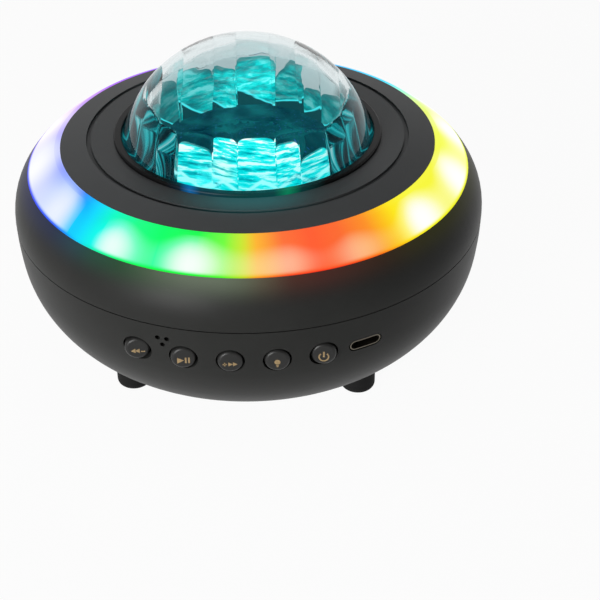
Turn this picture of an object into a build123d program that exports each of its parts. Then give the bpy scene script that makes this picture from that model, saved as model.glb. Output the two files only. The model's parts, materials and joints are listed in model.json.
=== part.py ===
from build123d import *
import os
from math import asin, cos, degrees, pi, radians, sin, sqrt

# Round aurora projector with a clear dome, a light ring, five front buttons and a loudspeaker underneath.
# Millimetres. Z is up, the floor is Z = 0, the front with the buttons faces -Y.
# Azimuths are in degrees from the front (-Y), positive towards +X.

# Clearances
CUT = 3.0               # overrun of every cut past the faces that it opens
FIT = 0.1               # gap round a fixed piece in its seat
RUN = 0.3               # gap round a piece that moves
SHAFT_PLAY = 0.05       # radial gap round a turning shaft, and round a screw in its thread
AXIAL_PLAY = 0.15       # end play of the turning disc
SCREW_PLAY = 0.25       # radial gap round a screw where it passes through

# Housing, turned about Z
BODY_R = 73.1           # widest circle
BODY_Z = 47.8           # height of the widest circle
RIM_INSET = 5.1         # rim under the light ring, inside the widest circle
RIM_RISE = 13.4         # the same rim, above the widest circle
BASE_Z = 3.4            # flat underside
SIDE_ARC_R = 99.6       # long arc of the bowl's side
SIDE_DROP = 8.1         # how much taller the bowl is than its lower arc
WALL = 2.2
SEAM_DROP = 1.5         # seam between the shells, below the widest circle
SEAM_GAP = 0.3          # shadow line at the seam
SEAM_LIP_H = 3.0
SEAM_LIP_T = 1.0
BITE_SHARE = 0.5        # how deep inner bosses and ribs sink into the wall

# Feet, and the pillars over them that hold the two shells together
FOOT_COUNT = 4
FOOT_TURN = -4.3
FOOT_INSET = 23.5       # feet's circle, inside the widest circle
FOOT_R = 5.4
FOOT_ROUND = 1.9
FOOT_STEM_L = 9.0
PILLAR_R = 5.2
PILLAR_BORE_R = 3.2
PILLAR_DROP = 6.3       # pillar's top below the seam
SCREW_SEAT_T = 5.0      # pillar left over the screw's head
LONG_SCREW_R = 1.5
LONG_SCREW_L = 14.0
LONG_HEAD_R = 2.8
LONG_HEAD_H = 2.4

# Small screws, all alike: deck, loudspeaker, main board and lamp
SMALL_SCREW_R = 1.2
SMALL_SCREW_L = 6.0
SMALL_HEAD_R = 2.2
SMALL_HEAD_H = 1.5
THREAD_SPARE = 0.5      # thread hole beyond the screw's end

# Light ring and top plate
BAND_W = 10.5           # light ring, measured along the radius
BAND_RISE = 7.8
BAND_BULGE = 0.35
BAND_LIP_W = 1.6        # flatter lip along the ring's inner edge
BAND_LIP_FALL = 0.5
RING_T = 2.0
RING_RIB_T = 1.5        # locating rib inside the rim
RING_RIB_H = 2.0
RING_FLANGE_W = 2.7     # held under the top plate
PLATE_EDGE_T = 1.8
PLATE_SLOPE_W = 8.1     # sloping part of the plate, outside the groove
PLATE_RISE = 1.6
GROOVE_W = 1.4
GROOVE_DEPTH = 0.8
SKIRT_T = 1.6
PLATE_BOSS_R = 3.0

# Dome and its bezel
PLATE_FLAT_W = 7.0      # flat part of the plate, between groove and bezel
BEZEL_W = 2.4
BEZEL_H = 1.2
BEZEL_ROUND = 0.5
DOME_GAP = 0.25         # gap between the dome and what surrounds it
DOME_H = 29.3           # above the plate
DOME_FLANGE_W = 4.4
DOME_FLANGE_T = 1.8
DOME_GASKET_T = 0.8
DOME_WALL = 3.2         # over the middle
DOME_FOOT_WALL = 8.95   # from the foot to the corners of the facets
FACET_TURN_SHARES = (-0.1153, -0.0567, -0.0169, 0.0406, 0.0806, 0.1278, 0.1750, 0.2167, 0.2639, 0.3403,
                     0.3875, 0.4444, 0.5183, 0.5658, 0.6339, 0.7128, 0.7500, 0.7889, 0.8417)  # of a turn

# Projector frame, the tray under the dome that carries lamp, laser, motor and ripple disc
TRAY_H = 8.6
TRAY_FLOOR_T = 2.0
TRAY_WALL = 3.0
TRAY_FOOT_W = 2.0       # flange that stands on the deck
BAFFLE_DEPTH = 2.2      # baffle seat below the tray's rim
BAFFLE_STEP_W = 2.0
BAFFLE_T = 1.0
BAFFLE_LAP = 1.2        # how far the baffle hides the disc's teeth
DECK_T = 2.0
DECK_LAND_W = 3.5       # tray flange on the deck

# Ripple disc and its drive
DISC_TEETH = 60
PINION_TEETH = 12
DRIVE_MARGIN = 3.4      # between pinion and tray wall
ADDENDUM_SHARE = 0.85   # tooth sizes in modules
DEDENDUM_SHARE = 1.2
TIP_HALF_SHARE = 0.11   # half widths of a tooth as shares of its pitch
ROOT_HALF_SHARE = 0.29
DISC_T = 2.0
DISC_HUB_R = 4.0
DISC_HUB_H = 3.25
LENSLET_R = 4.2         # radius of each bump's sphere
LENSLET_H = 0.9
LENSLET_COUNTS = (8, 14)
LENSLET_REACH_SHARES = (0.42, 0.76)
THRUST_R = 3.4
THRUST_H = 0.6
AXLE_R = 1.5
AXLE_HEAD_H = 0.45
CLIP_R = 3.0
CLIP_T = 0.6
MOTOR_AZ = 90.0
MOTOR_R = 7.5
MOTOR_L = 16.0
MOTOR_NOSE_R = 2.5
MOTOR_SLEEVE_T = 1.4
MOTOR_SLEEVE_L = 9.0
SHAFT_R = 1.0
SHAFT_IN = 6.0          # shaft inside the motor
PINION_OVER = 0.3       # pinion's face wider than the disc's

# Lamp under the disc
LAMP_AZ = 270.0
LAMP_BORE_R = 8.0
LAMP_TUBE_T = 1.6
LAMP_TUBE_L = 9.6
LENS_STEP = 0.8
LENS_SEAT_H = 4.4       # lens seat above the lamp board
LENS_EDGE_T = 1.2
LENS_CROWN = 2.2
LAMP_LUG_R = 3.0
LAMP_BOARD_T = 1.6
CHIP_W = 5.0
CHIP_H = 1.2
BULB_R = 1.9
SINK_W = 17.0
SINK_BASE_T = 2.0
SINK_FIN_H = 4.6
SINK_FIN_T = 1.0
SINK_FINS = 7

# Laser for the star points
LASER_AZ = -50.0
LASER_R = 3.0
LASER_L = 14.0
LASER_SLEEVE_T = 1.4
LASER_SLEEVE_L = 6.0
GRATING_T = 0.6
BEAM_HOLE_R = 3.3

# Ring lamps
RING_BOARD_T = 1.6
RING_BOARD_W = 8.6
RING_LED_COUNT = 18
RING_LED_TURN = 16.0
RING_LED_W = 5.0
RING_LED_H = 1.6

# Controls on the front
CONTROL_DROP = 11.4     # row of buttons below the widest circle
CONTROL_PITCH = 13.1
CONTROL_PLACES = 6      # five buttons and the socket
BUTTONS = ("previous", "play", "next", "light", "power")
BUTTON_R = 3.65
BUTTON_ROUND = 0.5
BUTTON_GAP = 0.45
BUTTON_PROUD = 0.5
BUTTON_TRAVEL = 0.5
BUTTON_FLANGE_R = 4.7
BUTTON_FLANGE_T = 1.0
BUTTON_STEM_R = 1.75
BUTTON_STEM_MIN = 0.8
SWITCH_W = 6.0
SWITCH_H = 3.5
PLUNGER_OUT = 1.0
PLUNGER_IN = 1.2
FRONT_BOARD_W = 76.0
FRONT_BOARD_UP = 8.6    # board's edges from the row of buttons
FRONT_BOARD_DOWN = 8.0
FRONT_BOARD_T = 1.6
RAIL_LAP = 1.5
RAIL_T = 2.4
MIC_SHIFT = 7.4         # microphone from the first button
MIC_RISE = 5.05
MIC_HOLE_R = 0.72
MIC_HOLE_RING_R = 1.5
MIC_HOLES = 3
MIC_TURN = 30.0
MIC_R = 2.9
MIC_T = 2.6
MIC_BOOT_T = 0.8

# USB-C socket
USB_STEP = 12.1         # from the last button
USB_W = 8.94
USB_H = 3.26
USB_SHEET = 0.3
USB_SLOT_GAP = 0.35
USB_COLLAR_T = 0.9
USB_COLLAR_L = 5.0
USB_INSET = 0.2         # mouth behind the wall
USB_TONGUE_W = 6.7
USB_TONGUE_T = 0.7
USB_TONGUE_INSET = 0.9

# Loudspeaker, facing down
GRILLE_R = 25.0
GRILLE_T = 0.8
GRILLE_LEDGE = 2.4
GRILLE_HOLE_R = 1.15
GRILLE_PITCH = 3.7
SPEAKER_LIFT = 3.0      # bosses under the speaker's flange
SPEAKER_BOSS_R = 2.6
SPEAKER_SCREWS = 4
SPEAKER_SCREW_TURN = 45.0
SPEAKER_SCREW_CIRCLE_R = 28.0
SPEAKER_EDGE = 2.6      # flange beyond its screws
SPEAKER_FLANGE_T = 1.4
SPEAKER_OPEN_R = 22.6
SPEAKER_SHELL_T = 1.0
SPEAKER_DEPTH = 9.0     # from flange to magnet
MAGNET_R = 16.0
MAGNET_BORE_R = 9.5
MAGNET_T = 6.0
POLE_PLATE_R = 15.0
POLE_PLATE_T = 2.5
POLE_R = 6.4
COIL_GAP = 0.5
COIL_T = 0.4
COIL_IN_GAP = 2.0       # coil's reach into the magnet gap
CONE_T = 0.5
CONE_DEPTH = 7.0
SURROUND_T = 0.4
SURROUND_ROLL_R = 2.0
SURROUND_LAND_W = 1.1
SURROUND_HEM_W = 2.4
CAP_R = 8.0
CAP_CROWN = 2.2
CAP_GAP = 0.07
WINDOW_SHARE = 0.5      # window in the frame, as a share of its quarter
WINDOW_COUNT = 4

# Main board, battery and leads
BOARD_GAP = 2.0         # between magnet and main board
BOARD_W = 60.0
BOARD_D = 56.0
BOARD_T = 1.6
POST_R = 3.0
POST_EDGE = 4.0         # posts from the board's edges
BATTERY_W = 50.0
BATTERY_T = 10.0
BATTERY_H = 32.0
BATTERY_Z = 12.0
BATTERY_GAP = 6.0       # between battery and main board
BATTERY_ROUND = 1.5
CRADLE_T = 2.4
CRADLE_SPAN = 36.0      # between the two cradle ribs
CRADLE_GRIP = 8.0
PLUG_W = 7.0
PLUG_D = 4.5
PLUG_H = 4.5
RADIO_W = 16.0
RADIO_D = 12.0
RADIO_H = 2.2
AMP_W = 9.0
AMP_H = 1.6
AMP_X = 14.0
AMP_Y = -13.0
RADIO_X = -16.0
RADIO_Y = -13.0
LEAD_R = 0.7
LEAD_PITCH = 2.6
LEAD_RISE = 6.0
LEAD_BEND_SHARE = 0.45
RIBBON_W = 12.0
RIBBON_T = 0.4
RIBBON_RISE = 3.0
RIBBON_LAP = 4.0

# Housing: derived sizes
rim_r = BODY_R - RIM_INSET
rim_z = BODY_Z + RIM_RISE
seam_z = BODY_Z - SEAM_DROP
base_arc_r = BODY_Z - BASE_Z - SIDE_DROP
side_angle = degrees(asin(SIDE_DROP / (SIDE_ARC_R - base_arc_r)))
top_arc_r = (RIM_INSET ** 2 + RIM_RISE ** 2) / (2 * RIM_INSET)
base_flat_r = BODY_R - SIDE_ARC_R + (SIDE_ARC_R - base_arc_r) * cos(radians(side_angle))
inside_z = BASE_Z + WALL
bite = WALL * BITE_SHARE
foot_circle_r = BODY_R - FOOT_INSET
rim_inner_r = BODY_R - top_arc_r + sqrt((top_arc_r - WALL) ** 2 - RIM_RISE ** 2)

# Ring, plate and dome: derived sizes, from the outside inwards
ring_in_r = rim_r - BAND_W
ring_in_z = rim_z + BAND_RISE
ring_lip_r = ring_in_r + BAND_LIP_W
ring_lip_z = ring_in_z - BAND_LIP_FALL
ring_flange_r = ring_in_r - RING_FLANGE_W
plate_z = ring_in_z - PLATE_EDGE_T
plate_top_z = ring_in_z + PLATE_RISE
groove_out_r = ring_in_r - PLATE_SLOPE_W
bezel_r = groove_out_r - GROOVE_W - PLATE_FLAT_W
dome_foot_r = bezel_r - BEZEL_W - DOME_GAP
dome_r = (dome_foot_r ** 2 + DOME_H ** 2) / (2 * DOME_H)
dome_centre_z = plate_top_z + DOME_H - dome_r
dome_hole_r = sqrt(dome_r ** 2 - (plate_z - dome_centre_z) ** 2) + DOME_GAP
dome_flange_r = dome_hole_r + DOME_FLANGE_W
dome_base_z = plate_z - DOME_FLANGE_T
skirt_r = ring_flange_r - FIT

# Tray, deck and drive: derived sizes, from the dome downwards
tray_top_z = dome_base_z - DOME_GASKET_T
deck_z = tray_top_z - TRAY_H
floor_z = deck_z + TRAY_FLOOR_T
tray_in_r = dome_flange_r - TRAY_WALL
tray_foot_r = dome_flange_r + TRAY_FOOT_W
deck_in_r = tray_foot_r - DECK_LAND_W
baffle_z = tray_top_z - BAFFLE_DEPTH
step_r = tray_in_r - BAFFLE_STEP_W
plate_boss_circle_r = (tray_foot_r + skirt_r - SKIRT_T) / 2
gear_module = (step_r - DRIVE_MARGIN) / (DISC_TEETH / 2 + PINION_TEETH + ADDENDUM_SHARE)
drive_offset = gear_module * (DISC_TEETH + PINION_TEETH) / 2
disc_root_r = gear_module * (DISC_TEETH / 2 - DEDENDUM_SHARE)
disc_tip_r = gear_module * (DISC_TEETH / 2 + ADDENDUM_SHARE)
lamp_offset = (DISC_HUB_R + disc_root_r) / 2
laser_offset = (disc_tip_r + step_r) / 2
disc_z = floor_z + THRUST_H + AXIAL_PLAY
disc_top_z = disc_z + DISC_T
hub_top_z = disc_z + DISC_HUB_H
baffle_in_r = disc_root_r - BAFFLE_LAP
lamp_board_z = deck_z - LAMP_TUBE_L
pillar_top_z = seam_z - PILLAR_DROP
screw_seat_z = pillar_top_z - SCREW_SEAT_T

# Loudspeaker and main board: derived heights, from the underside upwards
speaker_z = inside_z + SPEAKER_LIFT
speaker_flange_r = SPEAKER_SCREW_CIRCLE_R + SPEAKER_EDGE
gap_z = speaker_z + SPEAKER_FLANGE_T + SPEAKER_DEPTH
magnet_z = gap_z + POLE_PLATE_T
yoke_z = magnet_z + MAGNET_T
board_z = yoke_z + POLE_PLATE_T + BOARD_GAP
board_top_z = board_z + BOARD_T
coil_in_r = POLE_R + COIL_GAP
coil_r = coil_in_r + COIL_T
cone_r = SPEAKER_OPEN_R - 2 * SURROUND_ROLL_R
battery_y = BOARD_D / 2 + BATTERY_GAP
control_z = BODY_Z - CONTROL_DROP


def around(azimuth, radius):
    """Point on a circle about Z, by its azimuth from the front."""
    return radius * sin(radians(azimuth)), -radius * cos(radians(azimuth))


def turned(*edges):
    """Solid turned about Z from closed section edges, drawn as (radius, height)."""
    return revolve(Plane.XZ * make_face(edges), Axis.Z)


def turned_polygon(*points):
    """Solid turned about Z from the corners of its section."""
    return turned(Polyline(*points, close=True))


def rod(radius, low, high, place=(0, 0)):
    """Upright round rod between two heights."""
    height = high - low
    return Pos(*place, low) * Cylinder(radius, height, align=(Align.CENTER, Align.CENTER, Align.MIN))


def tube(outer_r, inner_r, low, high, place=(0, 0)):
    """Upright tube between two heights."""
    return rod(outer_r, low, high, place) - rod(inner_r, low - CUT, high + CUT, place)


def rod_y(radius, front, back, x, z):
    """Round rod along Y from its front end to its back end."""
    bar = Cylinder(radius, back - front, align=(Align.CENTER, Align.CENTER, Align.MIN))
    return Pos(x, front, z) * Rot(X=-90) * bar


def slot_y(width, height, front, back, x, z):
    """Bar with round ends along Y, lying flat."""
    return Pos(x, front, z) * Rot(X=-90) * extrude(SlotOverall(width, height), back - front)


def block(x, y, z):
    """Box between pairs of limits."""
    box = Box(x[1] - x[0], y[1] - y[0], z[1] - z[0], align=(Align.MIN, Align.MIN, Align.MIN))
    return Pos(x[0], y[0], z[0]) * box


def slab(low, high):
    """Everything between two heights."""
    return rod(BODY_R + CUT, low, high)


def housing_form(inset):
    """Whole housing below the rim as one solid, its surface moved inwards by inset."""
    base = CenterArc((base_flat_r, BASE_Z + base_arc_r), base_arc_r - inset, -90, 90 - side_angle)
    side = CenterArc((BODY_R - SIDE_ARC_R, BODY_Z), SIDE_ARC_R - inset, -side_angle, side_angle)
    bulge_r = top_arc_r - inset
    bulge = CenterArc((BODY_R - top_arc_r, BODY_Z), bulge_r, 0, degrees(asin(RIM_RISE / bulge_r)))
    low = BASE_Z + inset
    bottom = Line((0, low), base @ 0)
    rim = Line(bulge @ 1, (0, rim_z))
    axis = Line((0, rim_z), (0, low))
    return turned(bottom, base, side, bulge, rim, axis)


def form_radius(z, inset):
    """Radius of the housing's surface, moved inwards by inset, at a height below the widest circle."""
    drop = BODY_Z - z
    if drop < (SIDE_ARC_R - inset) * sin(radians(side_angle)):
        return BODY_R - SIDE_ARC_R + sqrt((SIDE_ARC_R - inset) ** 2 - drop ** 2)
    return base_flat_r + sqrt((base_arc_r - inset) ** 2 - (BASE_Z + base_arc_r - z) ** 2)


def front_y(x, z, inset):
    """Y of the housing's front surface, moved inwards by inset."""
    return -sqrt(form_radius(z, inset) ** 2 - x ** 2)


def screw(place, seat_z, size, up):
    """Pan-head screw with its head's underside at seat_z, its shank pointing up or down."""
    shank_r, length, head_r, head_h = size
    way = 1 if up else -1
    ends = sorted((seat_z, seat_z + way * length))
    head = sorted((seat_z, seat_z - way * head_h))
    return rod(shank_r, *ends, place) + rod(head_r, *head, place)


long_screw = (LONG_SCREW_R, LONG_SCREW_L, LONG_HEAD_R, LONG_HEAD_H)
small_screw = (SMALL_SCREW_R, SMALL_SCREW_L, SMALL_HEAD_R, SMALL_HEAD_H)
small_thread_r = SMALL_SCREW_R + SHAFT_PLAY
small_pass_r = SMALL_SCREW_R + SCREW_PLAY

foot_step = 360 / FOOT_COUNT
foot_azimuths = [FOOT_TURN + foot_step * (turn + 1 / 2) for turn in range(FOOT_COUNT)]
foot_places = [around(azimuth, foot_circle_r) for azimuth in foot_azimuths]
plate_azimuths = [FOOT_TURN + foot_step * turn for turn in range(FOOT_COUNT)]
plate_boss_places = [around(azimuth, plate_boss_circle_r) for azimuth in plate_azimuths]
speaker_step = 360 / SPEAKER_SCREWS
speaker_azimuths = [SPEAKER_SCREW_TURN + speaker_step * turn for turn in range(SPEAKER_SCREWS)]
speaker_places = [around(azimuth, SPEAKER_SCREW_CIRCLE_R) for azimuth in speaker_azimuths]
post_x = BOARD_W / 2 - POST_EDGE
post_y = BOARD_D / 2 - POST_EDGE
post_places = [(side * post_x, end * post_y) for side in (-1, 1) for end in (-1, 1)]
motor_place = around(MOTOR_AZ, drive_offset)
lamp_place = around(LAMP_AZ, lamp_offset)
laser_place = around(LASER_AZ, laser_offset)
lug_reach = LAMP_BORE_R + LAMP_TUBE_T + LAMP_LUG_R / 2
lug_places = [(lamp_place[0], lamp_place[1] + side * lug_reach) for side in (-1, 1)]

# Controls: places along the row, and the front board behind the outermost button
button_xs = [CONTROL_PITCH * (place - (CONTROL_PLACES - 1) / 2) for place in range(len(BUTTONS))]
usb_x = button_xs[-1] + USB_STEP
mic_x = button_xs[0] + MIC_SHIFT
mic_z = control_z + MIC_RISE


def flange_y(x):
    """Front of a button's flange, just behind the curved wall."""
    edge_x = abs(x) + BUTTON_FLANGE_R
    return front_y(edge_x, control_z - BUTTON_FLANGE_R, WALL) + RUN


outer_flange_y = max(flange_y(x) for x in button_xs) + BUTTON_FLANGE_T
switch_y = outer_flange_y + BUTTON_STEM_MIN + PLUNGER_OUT
front_board_y = switch_y + SWITCH_H
front_board_back_y = front_board_y + FRONT_BOARD_T
board_span_x = (-FRONT_BOARD_W / 2, FRONT_BOARD_W / 2)
board_span_y = (front_board_y, front_board_back_y)
board_span_z = (control_z - FRONT_BOARD_DOWN, control_z + FRONT_BOARD_UP)
usb_slot_w = USB_W + 2 * USB_SLOT_GAP
usb_slot_h = USB_H + 2 * USB_SLOT_GAP
usb_mouth_y = front_y(usb_x + usb_slot_w / 2, control_z, 0) + USB_INSET
usb_collar_y = usb_mouth_y + USB_COLLAR_L
wall_cut = (-BODY_R - CUT, switch_y - CUT / 2)


def cradle(x):
    """Rib that the battery stands in, with an upright before and behind it."""
    span_x = (x - CRADLE_T / 2, x + CRADLE_T / 2)
    rib_y = (battery_y - CRADLE_T, battery_y + BATTERY_T + CRADLE_T)
    rib = block(span_x, rib_y, (BASE_Z, BATTERY_Z + CRADLE_GRIP))
    seat_y = (battery_y - FIT, battery_y + BATTERY_T + FIT)
    return rib - block((span_x[0] - CUT, span_x[1] + CUT), seat_y, (BATTERY_Z, BATTERY_Z + BATTERY_H))


def rail(side):
    """Upright rail with a slot for one end of the front board."""
    inner = FRONT_BOARD_W / 2 - RAIL_LAP
    outer = FRONT_BOARD_W / 2 + RAIL_T
    span_x = sorted((side * inner, side * outer))
    span_y = (front_board_y - RAIL_T, front_board_back_y + RAIL_T)
    post = block(span_x, span_y, (BASE_Z, board_span_z[1] - RAIL_T))
    slot_x = (board_span_x[0] - FIT, board_span_x[1] + FIT)
    slot_y_span = (front_board_y - FIT, front_board_back_y + FIT)
    return post - block(slot_x, slot_y_span, (board_span_z[0], board_span_z[1] + CUT))


def lower_shell():
    """Bowl with pillars, posts, ribs and rails inside, and the holes of the front and the underside."""
    shell = (housing_form(0) - housing_form(WALL)) & slab(BASE_Z, seam_z)
    shell -= housing_form(WALL - SEAM_LIP_T) & slab(seam_z - SEAM_LIP_H, seam_z + CUT)
    collar_w = usb_slot_w + 2 * USB_COLLAR_T
    collar_h = usb_slot_h + 2 * USB_COLLAR_T
    collar = slot_y(collar_w, collar_h, -BODY_R, usb_collar_y, usb_x, control_z)
    inner = [rod(PILLAR_R, BASE_Z, pillar_top_z, place) for place in foot_places]
    inner += [rod(POST_R, BASE_Z, board_z, place) for place in post_places]
    inner += [rod(SPEAKER_BOSS_R, BASE_Z, speaker_z, place) for place in speaker_places]
    inner += [cradle(side * CRADLE_SPAN / 2) for side in (-1, 1)]
    inner += [rail(side) for side in (-1, 1)]
    core = housing_form(bite)
    for piece in inner + [collar]:
        shell += piece & core
    cuts = [rod(PILLAR_BORE_R, 0, screw_seat_z, place) for place in foot_places]
    cuts += [rod(LONG_SCREW_R + SCREW_PLAY, BASE_Z, pillar_top_z + CUT, place) for place in foot_places]
    thread_low = board_top_z - SMALL_SCREW_L - THREAD_SPARE
    cuts += [rod(small_thread_r, thread_low, board_z + CUT, place) for place in post_places]
    speaker_thread = speaker_z + SPEAKER_FLANGE_T - SMALL_SCREW_L
    cuts += [rod(small_thread_r, speaker_thread, speaker_z + CUT, place) for place in speaker_places]
    cuts.append(rod(GRILLE_R - GRILLE_LEDGE, BASE_Z - CUT, inside_z + CUT))
    cuts.append(rod(GRILLE_R + FIT, BASE_Z - CUT, BASE_Z + GRILLE_T))
    cuts += [rod_y(BUTTON_R + BUTTON_GAP, *wall_cut, x, control_z) for x in button_xs]
    cuts.append(slot_y(usb_slot_w, usb_slot_h, -BODY_R - CUT, usb_collar_y + CUT, usb_x, control_z))
    for hole in PolarLocations(MIC_HOLE_RING_R, MIC_HOLES, MIC_TURN):
        spot = hole.position
        cuts.append(rod_y(MIC_HOLE_R, *wall_cut, mic_x + spot.X, mic_z + spot.Y))
    for cut in cuts:
        shell -= cut
    return shell


def upper_shell():
    """Bulged upper half with a lip for the lower shell, and the deck that carries ring lamps and tray."""
    shell = (housing_form(0) - housing_form(WALL)) & slab(seam_z + SEAM_GAP, rim_z)
    lip = housing_form(WALL - SEAM_LIP_T + FIT) - housing_form(WALL)
    shell += lip & slab(seam_z - SEAM_LIP_H, seam_z + SEAM_GAP + SEAM_LIP_T)
    shell += tube(BODY_R, deck_in_r, deck_z - DECK_T, deck_z) & housing_form(bite)
    for place in foot_places:
        shell += rod(PILLAR_R, pillar_top_z, deck_z, place)
        thread_top = screw_seat_z + LONG_SCREW_L + THREAD_SPARE
        shell -= rod(LONG_SCREW_R + SHAFT_PLAY, pillar_top_z - CUT, thread_top, place)
    for place in plate_boss_places:
        shell -= rod(small_pass_r, deck_z - DECK_T - CUT, deck_z + CUT, place)
    return shell


def light_ring():
    """Translucent ring: a convex band, a flatter inner lip, a flange under the plate and a locating rib."""
    outer = (rim_r, rim_z)
    lip = (ring_lip_r, ring_lip_z)
    middle = ((outer[0] + lip[0]) / 2, (outer[1] + lip[1]) / 2)
    chord = Vector(lip) - Vector(outer)
    across = Vector(chord.Y, -chord.X).normalized() * BAND_BULGE
    crown = (middle[0] + across.X, middle[1] + across.Y)
    band = ThreePointArc(outer, crown, lip)
    rib_r = rim_inner_r - RUN
    below = Polyline(
        lip,
        (ring_in_r, ring_in_z),
        (ring_in_r, plate_z),
        (ring_flange_r, plate_z),
        (ring_flange_r, plate_z - RING_T),
        (ring_lip_r, plate_z - RING_T),
        (rib_r - RING_RIB_T, rim_z),
        (rib_r - RING_RIB_T, rim_z - RING_RIB_H),
        (rib_r, rim_z - RING_RIB_H),
        (rib_r, rim_z),
        outer,
    )
    return turned(band, *below.edges())


def top_plate():
    """Black plate that slopes up from the ring to its groove and is flat round the dome."""
    groove_in_r = groove_out_r - GROOVE_W
    plate = turned_polygon(
        (ring_in_r - FIT, plate_z),
        (ring_in_r - FIT, ring_in_z),
        (groove_out_r, plate_top_z),
        (groove_out_r, plate_top_z - GROOVE_DEPTH),
        (groove_in_r, plate_top_z - GROOVE_DEPTH),
        (groove_in_r, plate_top_z),
        (dome_hole_r, plate_top_z),
        (dome_hole_r, plate_z),
    )
    plate += tube(skirt_r, skirt_r - SKIRT_T, deck_z, plate_z)
    for place in plate_boss_places:
        plate += rod(PLATE_BOSS_R, deck_z, plate_z, place)
        thread_top = deck_z - DECK_T + SMALL_SCREW_L + THREAD_SPARE
        plate -= rod(small_thread_r, deck_z - CUT, thread_top, place)
    return plate


def dome_bezel():
    """Black ring on the plate, close round the dome."""
    ring = tube(bezel_r, bezel_r - BEZEL_W, plate_top_z, plate_top_z + BEZEL_H)
    return fillet(ring.edges().group_by(Axis.Z)[-1], BEZEL_ROUND)


def dome():
    """Clear cap, smooth outside, with a flange under the plate; inside a ball cut back to upright facets."""
    top_z = dome_centre_z + dome_r
    cap = (Pos(0, 0, dome_centre_z) * Sphere(dome_r)) & slab(dome_base_z, top_z + CUT)
    cap += rod(dome_flange_r, dome_base_z, plate_z)
    corners = [around(360 * share, dome_foot_r - DOME_FOOT_WALL) for share in FACET_TURN_SHARES]
    low = dome_base_z - CUT
    facets = Pos(0, 0, low) * extrude(make_face(Polyline(*corners, close=True)), top_z - low)
    return cap - (facets & Pos(0, 0, dome_centre_z) * Sphere(dome_r - DOME_WALL))


def projector_frame():
    """Tray with a floor for the disc, and below it a lamp tube, a motor sleeve and a laser sleeve."""
    tray = rod(tray_foot_r, deck_z, floor_z)
    tray += tube(dome_flange_r, tray_in_r, deck_z, tray_top_z)
    tray += tube(dome_flange_r, step_r, deck_z, baffle_z)
    tray += rod(THRUST_R, deck_z, floor_z + THRUST_H)
    tray += rod(LAMP_BORE_R + LAMP_TUBE_T, lamp_board_z, floor_z, lamp_place)
    for place in lug_places:
        tray += rod(LAMP_LUG_R, lamp_board_z, floor_z, place)
    sleeve_r = MOTOR_R + FIT
    tray += tube(sleeve_r + MOTOR_SLEEVE_T, sleeve_r, deck_z - MOTOR_SLEEVE_L, deck_z, motor_place)
    tray += rod(LASER_R + LASER_SLEEVE_T, deck_z - LASER_SLEEVE_L, floor_z, laser_place)
    tray -= rod(AXLE_R, deck_z - CUT, floor_z + CUT)
    tray -= rod(LAMP_BORE_R - LENS_STEP, lamp_board_z - CUT, floor_z + CUT, lamp_place)
    tray -= rod(LAMP_BORE_R, lamp_board_z + LENS_SEAT_H, floor_z + CUT, lamp_place)
    tray -= rod(MOTOR_NOSE_R + FIT, deck_z - CUT, floor_z + CUT, motor_place)
    tray -= rod(LASER_R + FIT, deck_z - LASER_SLEEVE_L - CUT, floor_z + CUT, laser_place)
    thread_top = lamp_board_z - LAMP_BOARD_T - SINK_BASE_T + SMALL_SCREW_L + THREAD_SPARE
    for place in lug_places:
        tray -= rod(small_thread_r, lamp_board_z - CUT, thread_top, place)
    return tray


def dome_gasket():
    """Flat seal between the tray's rim and the dome's flange."""
    return tube(dome_flange_r, tray_in_r, tray_top_z, dome_base_z)


def baffle():
    """Black ring that hides the drive and leaves the middle of the disc open."""
    ring = tube(tray_in_r - FIT, baffle_in_r, baffle_z, baffle_z + BAFFLE_T)
    return ring - rod(BEAM_HOLE_R, baffle_z - CUT, baffle_z + BAFFLE_T + CUT, laser_place)


def gear_face(teeth, turn):
    """Gear outline with straight flanks, slim enough to run with backlash."""
    pitch_r = gear_module * teeth / 2
    root_r = pitch_r - gear_module * DEDENDUM_SHARE
    tip_r = pitch_r + gear_module * ADDENDUM_SHARE
    rising = ((root_r, -ROOT_HALF_SHARE), (tip_r, -TIP_HALF_SHARE))
    falling = ((tip_r, TIP_HALF_SHARE), (root_r, ROOT_HALF_SHARE))
    points = []
    for number in range(teeth):
        for radius, share in rising + falling:
            angle = 2 * pi * (number + share + turn) / teeth
            points.append((radius * cos(angle), radius * sin(angle)))
    return make_face(Polyline(*points, close=True))


def ripple_disc():
    """Clear toothed disc with two rows of lens bumps and a hub."""
    disc = Pos(0, 0, disc_z) * extrude(gear_face(DISC_TEETH, 0), DISC_T)
    disc += rod(DISC_HUB_R, disc_z, hub_top_z)
    ball_z = disc_top_z + LENSLET_H - LENSLET_R
    ball_low = disc_top_z - DISC_T / 2
    bump = Sphere(LENSLET_R) & rod(LENSLET_R, ball_low - ball_z, LENSLET_R)
    for count, reach_share in zip(LENSLET_COUNTS, LENSLET_REACH_SHARES):
        for number in range(count):
            disc += Pos(*around(360 * number / count, disc_root_r * reach_share), ball_z) * bump
    return disc - rod(AXLE_R + SHAFT_PLAY, disc_z - CUT, hub_top_z + CUT)


def disc_axle():
    """Fixed pin that the disc turns on."""
    return rod(AXLE_R, deck_z, hub_top_z + AXIAL_PLAY + CLIP_T + AXLE_HEAD_H)


def axle_clip():
    """Washer that keeps the disc on its pin."""
    low = hub_top_z + AXIAL_PLAY
    return tube(CLIP_R, AXLE_R, low, low + CLIP_T)


def motor():
    """Gear motor under the tray, with a nose through the floor and a bore for its shaft."""
    body = rod(MOTOR_R, deck_z - MOTOR_L, deck_z, motor_place)
    body += rod(MOTOR_NOSE_R, deck_z - MOTOR_L, floor_z, motor_place)
    return body - rod(SHAFT_R + SHAFT_PLAY, deck_z - SHAFT_IN - RUN, floor_z + CUT, motor_place)


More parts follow.
